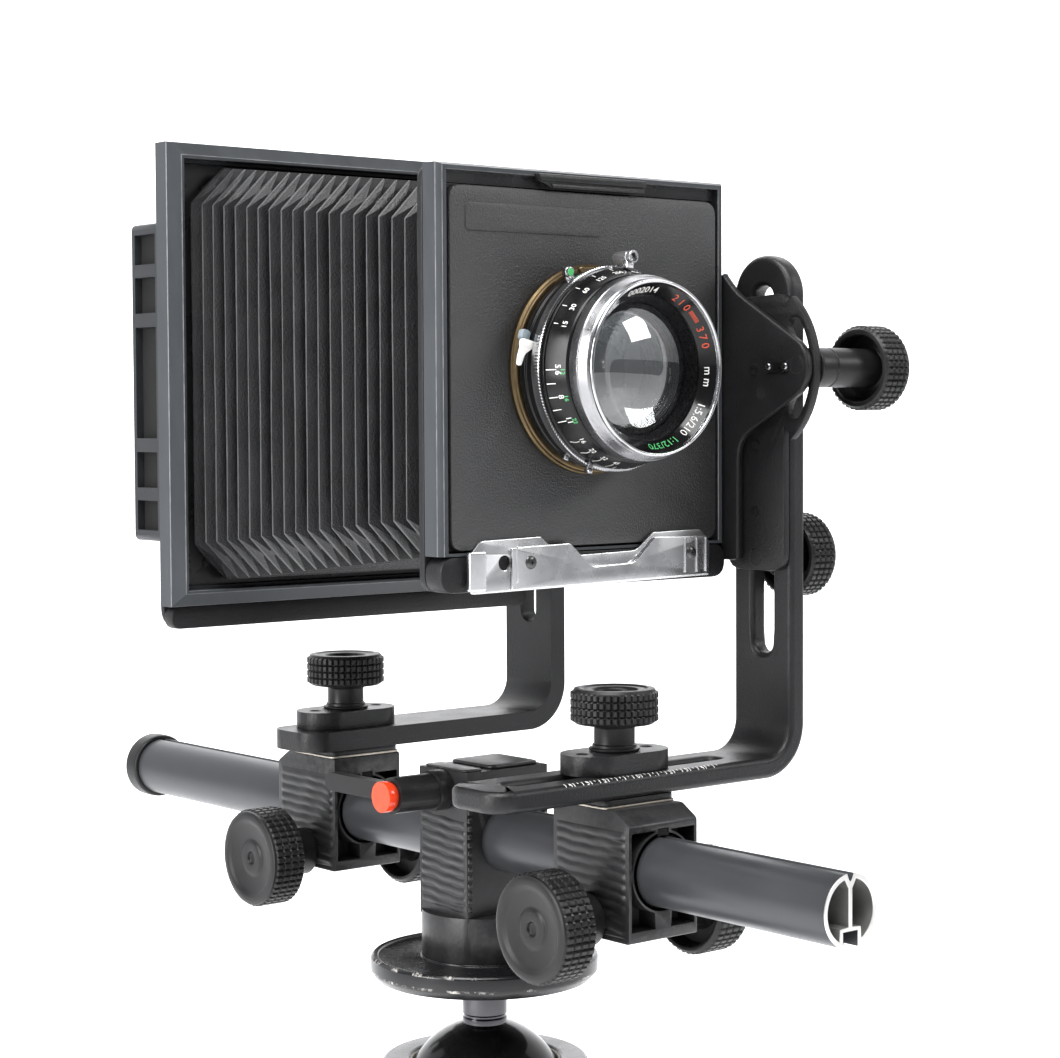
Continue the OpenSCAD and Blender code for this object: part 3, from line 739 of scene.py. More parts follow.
def make_frames():
    """Picture-frame mouldings: a flank, a pale arris that is partly wear and partly a painted highlight, a bevel and
    a dark recess inside.
    """
    lo, hi, _ = box_of("rear_bellows_frame")
    w, t, b, y0, y1 = hi.x, hi.z, lo.z, lo.y, hi.y

    def step(d, y, mat):
        return (w - d, t - d, b + d, y, mat)

    def opening(y, mat, half):
        return (half, LENS_Z + half, LENS_Z - half, y, mat)
    # Bands of material 1 are the pale arrises: wear with a painted highlight on them.
    frame_loft("rear", [
        opening(y1, 0, REAR_OPENING), step(0.3, y1, 0), step(0, y1 - 0.4, 0), step(0, y0 + 4.4, 1),
        step(0.25, y0 + 3.9, 0), step(6.1, y0 + 0.3, 1), step(6.5, y0, 0), step(7.6, y0, 1),
        step(7.9, y0 + 0.35, 2), step(8.3, y0 + 4.6, 2), step(9.6, y0 + 4.9, 2), step(9.9, y0 + 9.6, 3),
        opening(y0 + 10.2, 3, REAR_OPENING), opening(y1, 0, REAR_OPENING)])
    lo, hi, _ = box_of("front_bellows_frame")
    w, t, b, y0, y1 = hi.x, hi.z, lo.z, lo.y, hi.y
    inner = FRONT_OPENING
    down = LENS_Z - inner
    frame_loft("front", [
        opening(y1, 0, inner), (w - 0.3, t - 0.3, b, y1, 0), (w, t, b, y1 - 0.4, 0), (w, t, b, y0 + 2.9, 1),
        (w - 0.25, t - 0.25, b, y0 + 2.5, 0), (w - 1.9, t - 1.1, b, y0 + 0.25, 1), (w - 2.2, t - 1.3, b, y0, 0),
        (inner + 0.9, t - 3.0, down, y0, 1), (inner + 0.6, t - 3.3, down, y0 + 0.35, 3),
        (inner + 0.2, t - 3.8, down, y0 + 3.6, 3), opening(y0 + 3.9, 3, inner), opening(y1, 0, inner)])
    screws = Shape()
    for x in (-52, 66):
        screws.lathe(arc_profile([(0, 0.7), (2.0, 0.7), (2.4, 0.2), (2.4, -0.5)], 0.2),
                     (x, low("rear_frame").y + 3.2, low("rear_frame").z + 8.2), FORWARD, 20)
    screws.make("rear_frame_lip_screws", "rear_frame", ["satin_metal"], "powder_coat")


make_frames()


# ---------------------------------------------------------------- screws and rivets
def screw(shape, at, axis):
    """Flat screw head with a six-sided socket, its face 0.28 mm proud, in the shape's materials 1 and 2."""
    place = across(at, axis)
    shape.slab([ring(3.1, steps=28), ring(1.5, steps=6)], -0.3, 0.28, place, 0.16, 1)
    shape.slab([ring(1.45, steps=6)], -0.3, -0.1, place, 0, 2)


def cross_screw(shape, at, axis, r=3.1):
    """Round screw head with a cross slot, in the shape's materials 0 and 1."""
    shape.lathe(arc_profile([(0, 1.25), (r * 0.55, 1.2), (r, 0.5), (r, -0.3)], 0.5), at, axis, 28)
    for w, h in ((0.7 * r, 0.2 * r), (0.2 * r, 0.7 * r)):
        shape.slab([rect(w, h)], 1.0, 1.3, across(at, axis), 0, 1)


# ---------------------------------------------------------------- lens board, plaque, latch and clip
def make_board():
    lo, hi, _ = box_of("lens_board")
    size = hi.x - lo.x - 1.0
    board = Shape()
    board.slab([rect(size, size, 7, 0, LENS_Z, 6), ring(33.2, 0, LENS_Z, 60)], lo.y, hi.y, on_y, 0.9)
    board.slab([rect(79, 12.6, 2.5, -32.5, LENS_Z + 67, 4)], lo.y - 0.65, lo.y + 0.3, on_y, 0.4)
    board.make("lens_board_plate", "front_frame", ["board"], "board_black", ("lens_board",), sharp=40)


def make_latch():
    latch = Shape()
    lo, hi = low("board_latch") + Vector((0, 0, 3.4)), high("board_latch") - Vector((0, 0, 2.4))
    outline = [(lo.x, hi.z, 0.5), (lo.x + 1.5, hi.z - 3.5, 1.5), (lo.x + 6, lo.z + 1.6, 2), (lo.x + 9, lo.z, 2),
               (hi.x - 0.5, lo.z + 0.4, 1.2), (hi.x, hi.z - 4.5, 0.8), (hi.x, hi.z, 0.5)]
    hook = [(lo.x + 0.2, hi.z), (lo.x + 2, hi.z - 3.2), (hi.x, hi.z - 3.2), (hi.x, hi.z)]
    lip = [(lo.x + 9.5, lo.z), (lo.x + 8, lo.z + 2.0), (hi.x - 1.5, lo.z + 2.3), (hi.x - 1, lo.z + 0.3)]
    latch.slab([round_path(outline, 0.8, 3)], hi.y - 1.9, hi.y, on_y, 0.4)
    latch.slab([round_path(hook, 0.6, 3)], lo.y, hi.y - 1.2, on_y, 0.5)
    latch.slab([round_path(lip, 0.5, 3)], lo.y + 0.3, hi.y - 1.2, on_y, 0.45)
    latch.make("board_latch_bar", "latch", ["powder"], "powder_coat", ("board_latch",), sharp=40)


def make_clip():
    """Two bright spring plates, a thumb pad, pressed ribs and two screws. Bare heights count from the rail's axis."""
    lo, hi, _ = box_of("board_clip")
    bottom, top = lo.z - RAIL_Z, hi.z - RAIL_Z
    back = [(lo.x + 4, bottom + 0.4, 1), (hi.x - 0.5, bottom + 2.6, 1), (hi.x, top - 6, 1), (hi.x - 6, top, 2),
            (38, top - 0.4, 1), (27, 141, 3), (-19, 140, 3), (-31, top, 1), (lo.x + 9, top - 0.8, 2),
            (lo.x + 4, top - 6, 1)]
    front = [(-49, bottom + 1.2, 0.8), (hi.x - 3.5, bottom + 3.2, 0.8), (hi.x - 3.5, top - 3.2, 1.2),
             (37.5, top - 2.6, 1), (24.5, 135.5, 2.5), (-2, 134.6, 2.5), (-15, 146, 1), (-49, 145.2, 1)]
    back, front = ([(x, z + RAIL_Z, r) for x, z, r in points] for points in (back, front))
    clip = Shape()
    clip.slab([round_path(back, 1, 4), ring(3.4, -52, RAIL_Z + 138.5, 24)], hi.y - 1.6, hi.y, on_y, 0.3)
    clip.slab([round_path(front, 1, 4)], hi.y - 3.6, hi.y - 1.9, on_y, 0.35)
    clip.slab([rect(9.5, 17.5, 1.2, lo.x + 5, RAIL_Z + 135.4)], lo.y + 0.4, hi.y - 2.2, on_y, 0.7)
    for x in (-46.5, 56.5, 64.0, 70.0):
        clip.slab([rect(1.2, 16.5, 0.5, x, RAIL_Z + 137.6)], hi.y - 4.0, hi.y - 3.4, on_y, 0.28)
    clip.make("board_clip_spring", "front_frame", ["bright_aluminium"], "bright_aluminium", ("board_clip",), sharp=35)
    screws = Shape()
    for x, z in ((-38.5, 138.2), (60.3, 138.6)):
        cross_screw(screws, (x, hi.y - 3.6, RAIL_Z + z), FORWARD)
    screws.make("board_clip_screws", "front_frame", ["steel_dark", "matt_black"], "chrome", sharp=35)


make_board()
make_latch()
make_clip()


# ---------------------------------------------------------------- numbers and ticks
GLYPH_WEIGHT = 0.018


def glyphs(text, size):
    """Flat outline faces of a text, centred on its width, resting on its baseline."""
    curve = bpy.data.curves.new("glyphs", "FONT")
    curve.body = text
    curve.size = size
    curve.align_x = "CENTER"
    curve.resolution_u = 3
    curve.offset = GLYPH_WEIGHT
    obj = bpy.data.objects.new("glyphs", curve)
    mesh = obj.to_mesh()
    points = [tuple(v.co) for v in mesh.vertices]
    faces = [tuple(p.vertices) for p in mesh.polygons]
    obj.to_mesh_clear()
    bpy.data.objects.remove(obj)
    bpy.data.curves.remove(curve)
    return points, faces


class Cone:
    """A turned face about the lens axis from (r0, h0) to (r1, h1); h runs forward of the board."""

    LIFT = 0.04  # marks lie this far off the face

    def __init__(self, r0, h0, r1, h1):
        self.a = Vector((r0, h0))
        self.t = (Vector((r1, h1)) - self.a).normalized()
        self.n = Vector((-self.t.y, self.t.x))
        if self.n.y < 0:
            self.n = -self.n

    def point(self, angle, t):
        q = self.a + self.t * t + self.n * self.LIFT
        return lens_point(q.x, angle, q.y)

    def text(self, shape, text, size, angle, t, run, rise, mat=0):
        """run is +1 for text that goes counter-clockwise; rise +1 puts its top towards (r1, h1)."""
        points, faces = glyphs(text, size)
        r = self.a.x + self.t.x * t
        placed = [self.point(angle + run * math.degrees(x / r), t + rise * y) for x, y, _ in points]
        shape.add(placed, faces, mat)

    def tick(self, shape, angle, t0, t1, width, mat=0, end_angle=None):
        r = self.a.x + self.t.x * t0
        w = math.degrees(width / 2 / r)
        end = angle if end_angle is None else end_angle
        quad = [self.point(a, t) for a, t in ((angle - w, t0), (angle + w, t0), (end + w, t1), (end - w, t1))]
        shape.add(quad, [(0, 1, 2, 3)], mat)


# ---------------------------------------------------------------- lens and shutter
def make_lens():
    """The shutter and lens, in rings about the lens axis."""
    flange = Shape()
    flange.lathe(arc_profile([(34, 0.1), (47.6, 0.1), (48, 0.5), (48, 2.0), (47.2, 2.6), (46.9, 4.0), (46.4, 4.3),
                              (34, 4.3)], 0.25), LENS_AT, FORWARD, 120, closed=True)
    flange.make("lens_flange_ring", "front_frame", ["brass"], "brass", ("lens_flange",))
    body = Shape()
    body.lathe(arc_profile([(33.5, 4.4), (44.6, 4.4), (45.4, 4.8), (45.4, 8.4), (44.7, 8.8), (44.7, 9.4), (45.4, 9.8),
                            (45.4, 12.9), (45.0, 13.4), (43, 13.45), (43, 21.75), (45.0, 21.8), (45.4, 22.4),
                            (42.1, 32.7), (41.4, 33.4), (33.5, 33.4)], 0.3), LENS_AT, FORWARD, 144, closed=True)
    body.make("shutter_case", "front_frame", ["lens_black"], "lens_black", ("shutter_body",))
    teeth = 200
    knurl = Shape()
    plain = [(43.4, 13.6), (45.9, 13.6), (46.2, 13.9), (46.2, 16.2)]
    toothed = [(46.5, 16.3), (46.8, 16.6), (46.8, 18.8), (46.5, 19.15), (45.8, 19.2), (43.4, 19.2)]
    knurl.lathe(plain + toothed, LENS_AT, FORWARD, teeth * 2, closed=True,
                wave=lambda i, k: -0.42 if k % 2 and i >= len(plain) else 0)
    knurl.make("speed_ring_knurl", "speed_ring", ["chrome"], "chrome", ("speed_ring",), sharp=20)
    make_levers()
    make_barrel()
    make_scale()


def lens_point(radius, angle, height):
    """A point round the lens axis, this far forward of the board."""
    x, z = spin(radius, angle)
    return (x, BOARD_Y - height, LENS_Z + z)


def on_spoke(angle, start=0.0):
    """Outline with its first axis running outward from the lens axis, thickness forward of the board."""
    a = math.radians(angle)

    def place(u, v, w):
        r = start + u
        return (r * math.cos(a) - v * math.sin(a), BOARD_Y - w, LENS_Z + r * math.sin(a) + v * math.cos(a))
    return place


def tongue(r0, r1, half):
    return rect(r1 - r0, 2 * half, half * 0.7, (r0 + r1) / 2)


IRIS_ANGLE = -112
COCK_ANGLE = 167


def make_levers():
    iris = Shape()
    iris.lathe(arc_profile([(43.4, 19.5), (45.0, 19.5), (45.3, 19.8), (45.3, 21.0), (45.0, 21.3), (43.4, 21.3)], 0.2),
               LENS_AT, FORWARD, 120, 1, closed=True)
    iris.slab([tongue(44.6, 50.2, 1.5)], 19.6, 21.2, on_spoke(IRIS_ANGLE), 0.3)
    iris.lathe(arc_profile([(0, -2.0), (1.1, -1.9), (1.5, -0.8), (1.5, 1.0), (1.1, 2.1), (0, 2.3)], 0.5),
               lens_point(49.4, IRIS_ANGLE, 20.3), FORWARD, 24)
    iris.make("aperture_lever_ring", "aperture_lever", ["satin_metal", "lens_black"], "chrome", ("aperture_lever",))
    cock = Shape()
    cock.slab([tongue(44.0, 51.6, 1.9)], 10.2, 13.1, on_spoke(COCK_ANGLE), 0.6, 0)
    cock.slab([tongue(45.8, 50.6, 2.4)], 7.0, 10.4, on_spoke(COCK_ANGLE - 5), 0.6, 1)
    blade = [(-1.5, -1, 0.6), (3.8, -1, 1), (4.6, 6, 1), (4.2, 10.2, 1.2), (2.6, 10.4, 1), (1.6, 5, 1),
             (-1.5, 2, 0.6)]
    cock.slab([round_path(blade, 0.8)], 10.6, 12.9, on_spoke(COCK_ANGLE, 47.2), 0.5, 0)
    cock.make("cocking_lever_blade", "cocking_lever", ["white_mark", "grey_plastic"], "chrome", ("cocking_lever",))
    make_socket()
    make_posts()


def make_socket():
    socket = Shape()
    lo, hi, c = box_of("release_socket")
    r = (hi.x - lo.x) / 2
    at = (c.x, hi.y, hi.z - r)
    length = hi.y - lo.y
    teeth = [(1.9, 0), (r - 0.5, 0), (r - 0.15, 0.4), (r - 0.15, length - 3.2), (r - 0.5, length - 2.9)]
    smooth = [(r - 0.5, length - 2.6), (r, length - 2.3), (r, length - 0.3), (r - 0.3, length), (1.9, length)]
    socket.lathe(teeth + smooth, at, FORWARD, 72, closed=True,
                 wave=lambda i, k: -0.42 if k % 4 == 0 and 1 < i < 4 else 0)
    socket.lathe([(0, 0.2), (1.9, 0.2), (1.9, length - 3.4), (0, length - 3.4)], at, FORWARD, 24, 1)
    socket.lathe([(0, length - 3.3), (1.0, length - 3.3), (0.7, length - 1.8), (0, length - 1.7)], at, FORWARD, 20)
    socket.slab([rect(4.2, 4.0, 1.2, c.x, hi.y - 8)], lo.z, hi.z - r, on_z, 0.3)
    socket.make("release_socket_knurl", "front_frame", ["bright_aluminium", "matt_black"], "chrome",
                ("release_socket",), sharp=25)


def make_posts():
    posts = Shape()
    for angle, r0, r1, half, mat in ((118, 44.6, 49.5, 2.6, 0), (108, 44.6, 48.4, 1.7, 1),
                                     (-121, 44.4, 48.0, 1.4, 0)):
        tall = r1 - r0
        x, z = spin(1, angle)
        posts.lathe(arc_profile([(0, -0.5), (half, -0.5), (half, tall - 0.5), (half - 0.5, tall), (0, tall)], 0.25),
                    lens_point(r0, angle, 11.4), (x, 0, z), 24, mat)
    at = lens_point(49.0, 118, 12.4)
    posts.lathe(arc_profile([(0, 1.6), (2.2, 1.5), (2.7, 1.0), (2.7, -1.2), (0, -1.3)], 0.3), at, FORWARD, 28)
    posts.lathe([(0, 1.75), (1.7, 1.7), (1.8, 1.4), (0, 1.4)], at, FORWARD, 24, 2)
    posts.make("shutter_posts", "front_frame", ["satin_metal", "brass", "green_mark"], "chrome")


def make_barrel():
    barrel = Shape()
    outer = [(34, 33.6), (41.0, 33.6), (41.5, 34.0), (41.6, 39.4), (41.2, 39.8), (40.0, 44.2), (39.3, 45.0)]
    barrel.lathe(arc_profile(outer, 0.3), LENS_AT, FORWARD, 144, 0)
    rim = [(39.3, 45.0), (39.4, 46.2), (39.0, 46.8), (38.3, 46.9), (37.8, 46.5), (37.6, 44.9)]
    barrel.lathe(arc_profile(rim, 0.3), LENS_AT, FORWARD, 144, 1)
    barrel.lathe([(37.6, 44.9), (37.4, 44.6), (32.6, 39.4), (32.4, 39.0), (32.4, 37.6)], LENS_AT, FORWARD, 144, 2)
    steps = [(32.4, 37.6)]
    for i in range(7):
        h = 37.6 - i * 0.8
        r = 32.4 - i * 0.36
        steps += [(r - 0.3, h), (r - 0.36, h - 0.8)]
    steps += [(29.9, 31.8), (29.9, 30.6)]
    barrel.lathe(steps, LENS_AT, FORWARD, 144, 3)
    inside = [(29.9, 30.6), (27.0, 30.2)]
    for i in range(12):
        h = 30.2 - i * 1.5
        r = 27.0 - i * 0.62
        inside += [(r, h), (r - 0.5, h - 0.35), (r - 0.5, h - 1.1)]
    inside += [(18.5, 12.2), (18.5, 11.4)]
    barrel.lathe(inside, LENS_AT, FORWARD, 120, 3)
    barrel.lathe([(34, 33.6), (34, 11.4), (18.5, 11.4)], LENS_AT, FORWARD, 96, 3)
    barrel.make("lens_barrel_mount", "front_frame", ["satin_metal", "chrome", "gloss_black", "glitter_black"],
                "lens_black", ("lens_barrel",), sharp=25)
    glass = Shape()
    for top, edge, r, back in ((38.9, 31.4, 29.7, 30.4), (27.6, 24.6, 24.6, 23.8)):
        n = 14
        dome = [(r * k / n, edge + (top - edge) * (1 - (k / n) ** 2)) for k in range(n + 1)]
        inner = [(r * k / n, back - 2.2 * (1 - (k / n) ** 2) * (1 if top > 30 else -1)) for k in range(n, -1, -1)]
        glass.lathe(dome + inner, LENS_AT, FORWARD, 96)
    glass.make("front_glass_elements", "front_frame", ["glass"], "lens_glass", ("front_glass",), sharp=50)
    iris = Shape()
    blades = 10
    for i in range(blades):
        a0, a1 = TAU * i / blades, TAU * (i + 1) / blades
        pts = []
        for r, a, lift in ((19.2, a0, 0), (19.2, a1 + 0.06, 0.22), (11.5, a1 + 0.42, 0.26), (11.5, a0 + 0.3, 0.04)):
            pts.append((r * math.cos(a), BOARD_Y - 13.0 - lift, LENS_Z + r * math.sin(a)))
        iris.add(pts, [(0, 1, 2, 3)])
    iris.make("iris_blades", "front_frame", ["steel_dark"], "lens_black", recalc=False)
    shade = Shape()
    shade.lathe([(0, 6.0), (19, 6.0)], LENS_AT, FORWARD, 48)
    shade.make("iris_shade", "front_frame", ["matt_black"], "lens_black")
    rear = Shape()
    lo, hi = low("rear_cell"), high("rear_cell")
    back = BOARD_Y - hi.y
    rear.lathe(arc_profile([(22, back + 0.2), (27.5, back), (28.9, back + 0.8), (29, back + 12), (28.2, back + 12.6),
                            (28.2, back + 14), (29, back + 14.6), (29, BOARD_Y - lo.y), (20, BOARD_Y - lo.y)], 0.3),
               LENS_AT, FORWARD, 96)
    rear.make("rear_cell_shell", "front_frame", ["lens_black"], "lens_black", ("rear_cell",))


def make_scale():
    face = Cone(45.4, 22.4, 42.1, 32.7)
    marks = Shape()
    for angle, label, green in ((181, "5.6", "12"), (197, "8", "16"), (212, "11", "22")):
        face.tick(marks, angle, 0.5, 5.0, 0.4)
        face.text(marks, label, 4.0, angle, 5.4, 1, 1)
        face.text(marks, green, 3.0, angle + 1.2, 8.2, 1, 1, 1)
    for angle in (189, 204.5):
        face.tick(marks, angle, 0.5, 5.0, 0.4)
    for angle, label in ((226, "16"), (236, "22"), (246, "32"), (256, "45")):
        face.tick(marks, angle, 0.5, 3.0, 0.34, end_angle=angle + 1.6)
        face.tick(marks, angle + 1.6, 3.0, 5.0, 0.34)
        face.text(marks, label, 3.4, angle + 1.6, 5.6, 1, 1)
    for k in range(22):
        face.tick(marks, 262 + k * 6, 0.5, 1.7 if k % 3 else 3.0, 0.26)
    for angle, label in ((128, "60"), (114, "125"), (100, "250"), (86, "400"), (142, "30"), (154, "15")):
        face.text(marks, label, 3.6, angle, 7.6, -1, -1)
        face.tick(marks, angle, 0.6, 3.0, 0.34)
    marks.make("aperture_scale", "front_frame", ["white_mark", "green_mark"], "lens_black", recalc=False)
    name = Cone(32.6, 39.4, 37.4, 44.6)
    ring_marks = Shape()
    for angle, label, mat in ((98, "0002014", 0), (-6, "m m", 0), (-42, "1:5.6/210", 0), (58, "2 1 0", 1),
                              (24, "3 7 0", 1), (-78, "1:12/370", 2)):
        name.text(ring_marks, label, 5.0, angle, 1.8, -1, 1, mat)
    for k in range(9):
        name.tick(ring_marks, 37 + k * 1.2, 2.6, 4.6, 0.4, 1)
        name.tick(ring_marks, 130 + k * 6, 3.4, 4.9, 0.36, 0)
    ring_marks.make("name_ring_marks", "front_frame", ["white_mark", "red_mark", "green_mark"], "lens_black",
                    recalc=False)


make_lens()


# ---------------------------------------------------------------- rail
def make_rail():
    """Anodised extrusion with a slot below, a vee groove above, and two hollow lobes that show at the cut end."""
    r, lip, wall = RAIL_R, 4.4, 2.2
    foot = -math.sqrt(r * r - lip * lip)
    right = arc(r, math.degrees(math.atan2(foot, lip)), 83, 34)
    vee = [(0.9, r - 2.6), (0, r - 3.6), (-0.9, r - 2.6)]
    left = [(-x, z) for x, z in reversed(right)]
    outline = right + vee + left + [(-lip, foot), (-lip, -8.4), (lip, -8.4)]
    half = arc(r - wall, -61, 76, 26) + [(1.1, 9.4), (1.1, -6.6), (lip + wall - 0.4, -7.0)]
    lobes = [[(sign * x, z) for x, z in half] for sign in (1, -1)]
    y0, y1 = low("monorail").y, high("monorail").y
    rail = Shape().slab([outline, *lobes], y0, y1, lambda u, v, w: (u, w, RAIL_Z + v), 0.25, 0, 1)

    def part(face):
        pts = [rail.points[i] for i in face]
        if all(q[1] < y0 + 0.5 for q in pts):
            return 1
        hollow = all(math.hypot(q[0], q[2] - RAIL_Z) < r - wall + 0.4 for q in pts)
        groove = all(abs(q[0]) <= lip + 0.1 and q[2] - RAIL_Z < -8 for q in pts)
        vee_face = all(abs(q[0]) < 1.0 and q[2] - RAIL_Z > 11 for q in pts)
        return 2 if hollow and not groove and not vee_face else 0
    rail.mats = [part(f) for f in rail.faces]
    rail.make("monorail_extrusion", "rail", ["rail", "cut_aluminium", "rail_inside"], "rail_anodised", ("monorail",),
              sharp=26)
    cap = Shape()
    c0, c1 = low("rail_end_cap").y, high("rail_end_cap").y
    rc = half_width("rail_end_cap")
    cap.lathe(arc_profile([(12.0, c0), (RAIL_R + 0.2, c0), (rc - 0.6, c0 + 0.2), (rc, c0 + 1.4), (rc, c1 - 3.4),
                           (rc - 2.6, c1), (6.5, c1), (6.2, c1 - 0.8), (0, c1 - 0.8)], 0.8, 4),
              (0, 0, RAIL_Z), (0, 1, 0), 72)
    cap.make("rail_end_cap_moulded", "rail", ["knob"], "knob_plastic", ("rail_end_cap",))


make_rail()


# ---------------------------------------------------------------- carving with cutters
def carve(name, base, cutters, body, mats, replaces, bevel):
    """Cuts the cutter shapes out of the base shape, rounds its edges and keeps the result as one mesh."""
    made = []
    for i, shape in enumerate([base, *cutters]):
        obj = bpy.data.objects.new(f"carve_{i}", shape.mesh(f"carve_{i}"))
        bpy.context.scene.collection.objects.link(obj)
        made.append(obj)
    for cutter in made[1:]:
        cut = made[0].modifiers.new("cut", "BOOLEAN")
        cut.object = cutter
        cut.operation = "DIFFERENCE"
        cut.solver = "EXACT"
    round_edges(made[0], bevel, 35)
    deps = bpy.context.evaluated_depsgraph_get()
    mesh = bpy.data.meshes.new_from_object(made[0].evaluated_get(deps))
    mesh.name = name
    for obj in made:
        bpy.data.objects.remove(obj)
    mesh.materials.clear()
    for m in mats:
        mesh.materials.append(MAT[m])
    return piece(name, mesh, body, replaces, 30)


# ---------------------------------------------------------------- rail blocks
RIB_PITCH = 4.6
RIB_DEPTH = 0.85


def ribbed_panel(shape, x, y0, y1, z0, z1, side, seed):
    """Wavy moulded ribs on a side face; side is -1 or +1."""
    nu, nv = 26, int((z1 - z0) / RIB_PITCH) * 8
    points = []
    for j in range(nv + 1):
        for i in range(nu + 1):
            u, v = i / nu, j / nv
            y, z = y0 + (y1 - y0) * u, z0 + (z1 - z0) * v
            wave = 0.1 * math.sin(y * 0.13 + seed) + 0.045 * math.sin(y * 0.47 + seed * 2 + z * 0.11)
            phase = (z / RIB_PITCH + wave - y * 0.012) % 1.0
            edge = min(1.0, 30 * min(u, 1 - u)) * min(1.0, 14 * min(v, 1 - v))
            swell = 0.75 + 0.25 * math.sin(y * 0.31 + z * 0.23 + seed)
            rib = (1 - abs(2 * phase - 1) ** 1.7) * RIB_DEPTH * edge * swell
            points.append((x + side * (rib + (0.08 if edge else -0.3)), y, z))
    corners = [j * (nu + 1) + i for j in range(nv) for i in range(nu)]
    shape.add(points, [(a, a + 1, a + nu + 2, a + nu + 1) for a in corners])


def bore(radius, start, end, at, axis, steps):
    return Shape().lathe([(0, start), (radius, start), (radius, end), (0, end)], at, axis, steps)


def rail_block(side, seed):
    """Moulded slider on the rail: shoulder slope on the outer end, pockets round the rail collar."""
    node = f"{side}_rail_block"
    lo, hi, c = box_of(node)
    out = -1 if side == "front" else 1
    y_out, y_in = (lo.y, hi.y) if out < 0 else (hi.y, lo.y)
    ends = ((y_out, out), (y_in, -out))
    half = half_width(node) - 0.9
    slope, drop = 9.5, 9.5 * 0.62
    outline = [(y_in, lo.z), (y_in, hi.z), (y_out - out * slope, hi.z), (y_out, hi.z - drop), (y_out, lo.z)]
    base = Shape().slab([round_path(outline, 1.2, 3)], -half, half, on_x, 0)
    cutters = [bore(RAIL_R + 0.35, lo.y - 5, hi.y + 5, (0, 0, RAIL_Z), (0, 1, 0), 72),
               bore(7.4, -half - 3, half + 3, (0, c.y, mid("front_focus_knob").z), TO_RIGHT, 32)]
    for y_face, sign in ends:
        for sx in (-1, 1):
            wall_x = sx * (half - 1.7)
            for sz, end_z in ((-1, lo.z + 5.2), (1, hi.z - drop - 3.4)):
                round_rail = [(sx * u, RAIL_Z + sz * v) for u, v in arc(RAIL_R + 2.9, 8, 74, 10)]
                loop = [p for p in [(wall_x, RAIL_Z + sz * 2.9)] + round_rail if sz * (p[1] - end_z) < 0]
                loop += [(round_rail[-1][0] * 0.9, end_z), (wall_x, end_z)]
                cutters.append(Shape().slab([loop], y_face + sign * 2, y_face - sign * 11, on_y, 0))
        key = rect(6.4, 5.2, 0, 0, RAIL_Z + RAIL_R + 1.2)
        cutters.append(Shape().slab([key], y_face + sign * 2, y_face - sign * 9, on_y, 0))
    carve(f"{side}_rail_block_moulding", base, cutters, f"{side}_block", ["nylon"], (node,), 0.45)
    ribs = Shape()
    for sx in (-1, 1):
        ribbed_panel(ribs, sx * half, lo.y + 1.6, hi.y - 1.6, lo.z + 2.0, hi.z - 8.2, sx, seed + sx)
    ribs.make(f"{side}_rail_block_ribs", f"{side}_block", ["nylon"], "black_nylon", sharp=60, recalc=False)
    trim = Shape()
    r0, r1 = RAIL_R + 0.5, RAIL_R + 2.1
    for y_face, sign in ends:
        trim.lathe([(r0, 0.0), (r1 - 0.2, 0.0), (r1, 0.25), (r1, 7), (r0, 7)], (0, y_face, RAIL_Z), (0, -sign, 0), 72,
                   closed=True)
        trim.slab([rect(6.0, 3.2, 0.6, 0, RAIL_Z + RAIL_R + 2.0)], y_face - sign * 0.2, y_face - sign * 6, on_y, 0.4)
    trim.make(f"{side}_rail_collar_liner", f"{side}_block", ["matt_black"], "black_nylon", sharp=35)


rail_block("front", 0.3)
rail_block("rear", 1.9)


def clamp_ribs():
    """Ribbed flanks, toothed corners and a raised top on the block that holds the rail to the head."""
    top = high("rail_clamp_block").z
    y0, y1 = HEAD_Y - 18.6, HEAD_Y + 18.6
    ribs = Shape()
    for sx in (-1, 1):
        ribbed_panel(ribs, sx * 24.7, y0 + 0.4, y1 - 0.4, RAIL_Z - 35, RAIL_Z + 14, sx, 2.2 + sx)
    for k in range(16):
        z = RAIL_Z - 33 + k * 3.9
        for sx in (-1, 1):
            for y in (y0 - 0.1, y1 + 0.1):
                ribs.slab([rect(2.6, 1.6, 0.7, sx * 23.4, y)], z, z + 2.5, on_z, 0.6)
    ribs.slab([rect(30, 33, 4, 7, HEAD_Y)], top - 0.3, top + 1.9, on_z, 1.0)
    ribs.slab([rect(11, 33, 3, -18.5, HEAD_Y)], top - 0.3, top + 1.1, on_z, 0.8)
    ribs.make("rail_clamp_ribs", "ball", ["nylon"], "black_nylon", sharp=50, recalc=False)


clamp_ribs()


# ---------------------------------------------------------------- arms: scales and clamp sockets
ARM_BEVEL = 2.8  # the arms' rounded edges, on which the shift scale lies
ARM_TOP = RAIL_Z + 42
MARK_LIFT = 0.05


def shift_scale():
    y0 = low("front_l_arm").y
    marks = Shape()
    r = ARM_BEVEL + MARK_LIFT

    def on_edge(x, along):
        a = along / ARM_BEVEL
        return (x, y0 + ARM_BEVEL - r * math.cos(a), ARM_TOP - ARM_BEVEL + r * math.sin(a))
    for k in range(-9, 10):
        x = k * 5.0
        for shift, start, end in ((0, 1.7, 4.3), (2.5, 2.9, 4.3)):
            strip = [on_edge(x + shift + dx, start + (end - start) * i / 3) for i in range(4) for dx in (-0.22, 0.22)]
            marks.add(strip, [(2 * i, 2 * i + 1, 2 * i + 3, 2 * i + 2) for i in range(3)])
        if k % 2 == 0:
            points, faces = glyphs(str(abs(k) // 2), 3.6)
            marks.add([on_edge(x - 2.0 + px, 1.7 + py) for px, py, _ in points], faces)
    marks.make("front_shift_scale", "front_arm", ["white_mark"], "powder_coat", recalc=False)


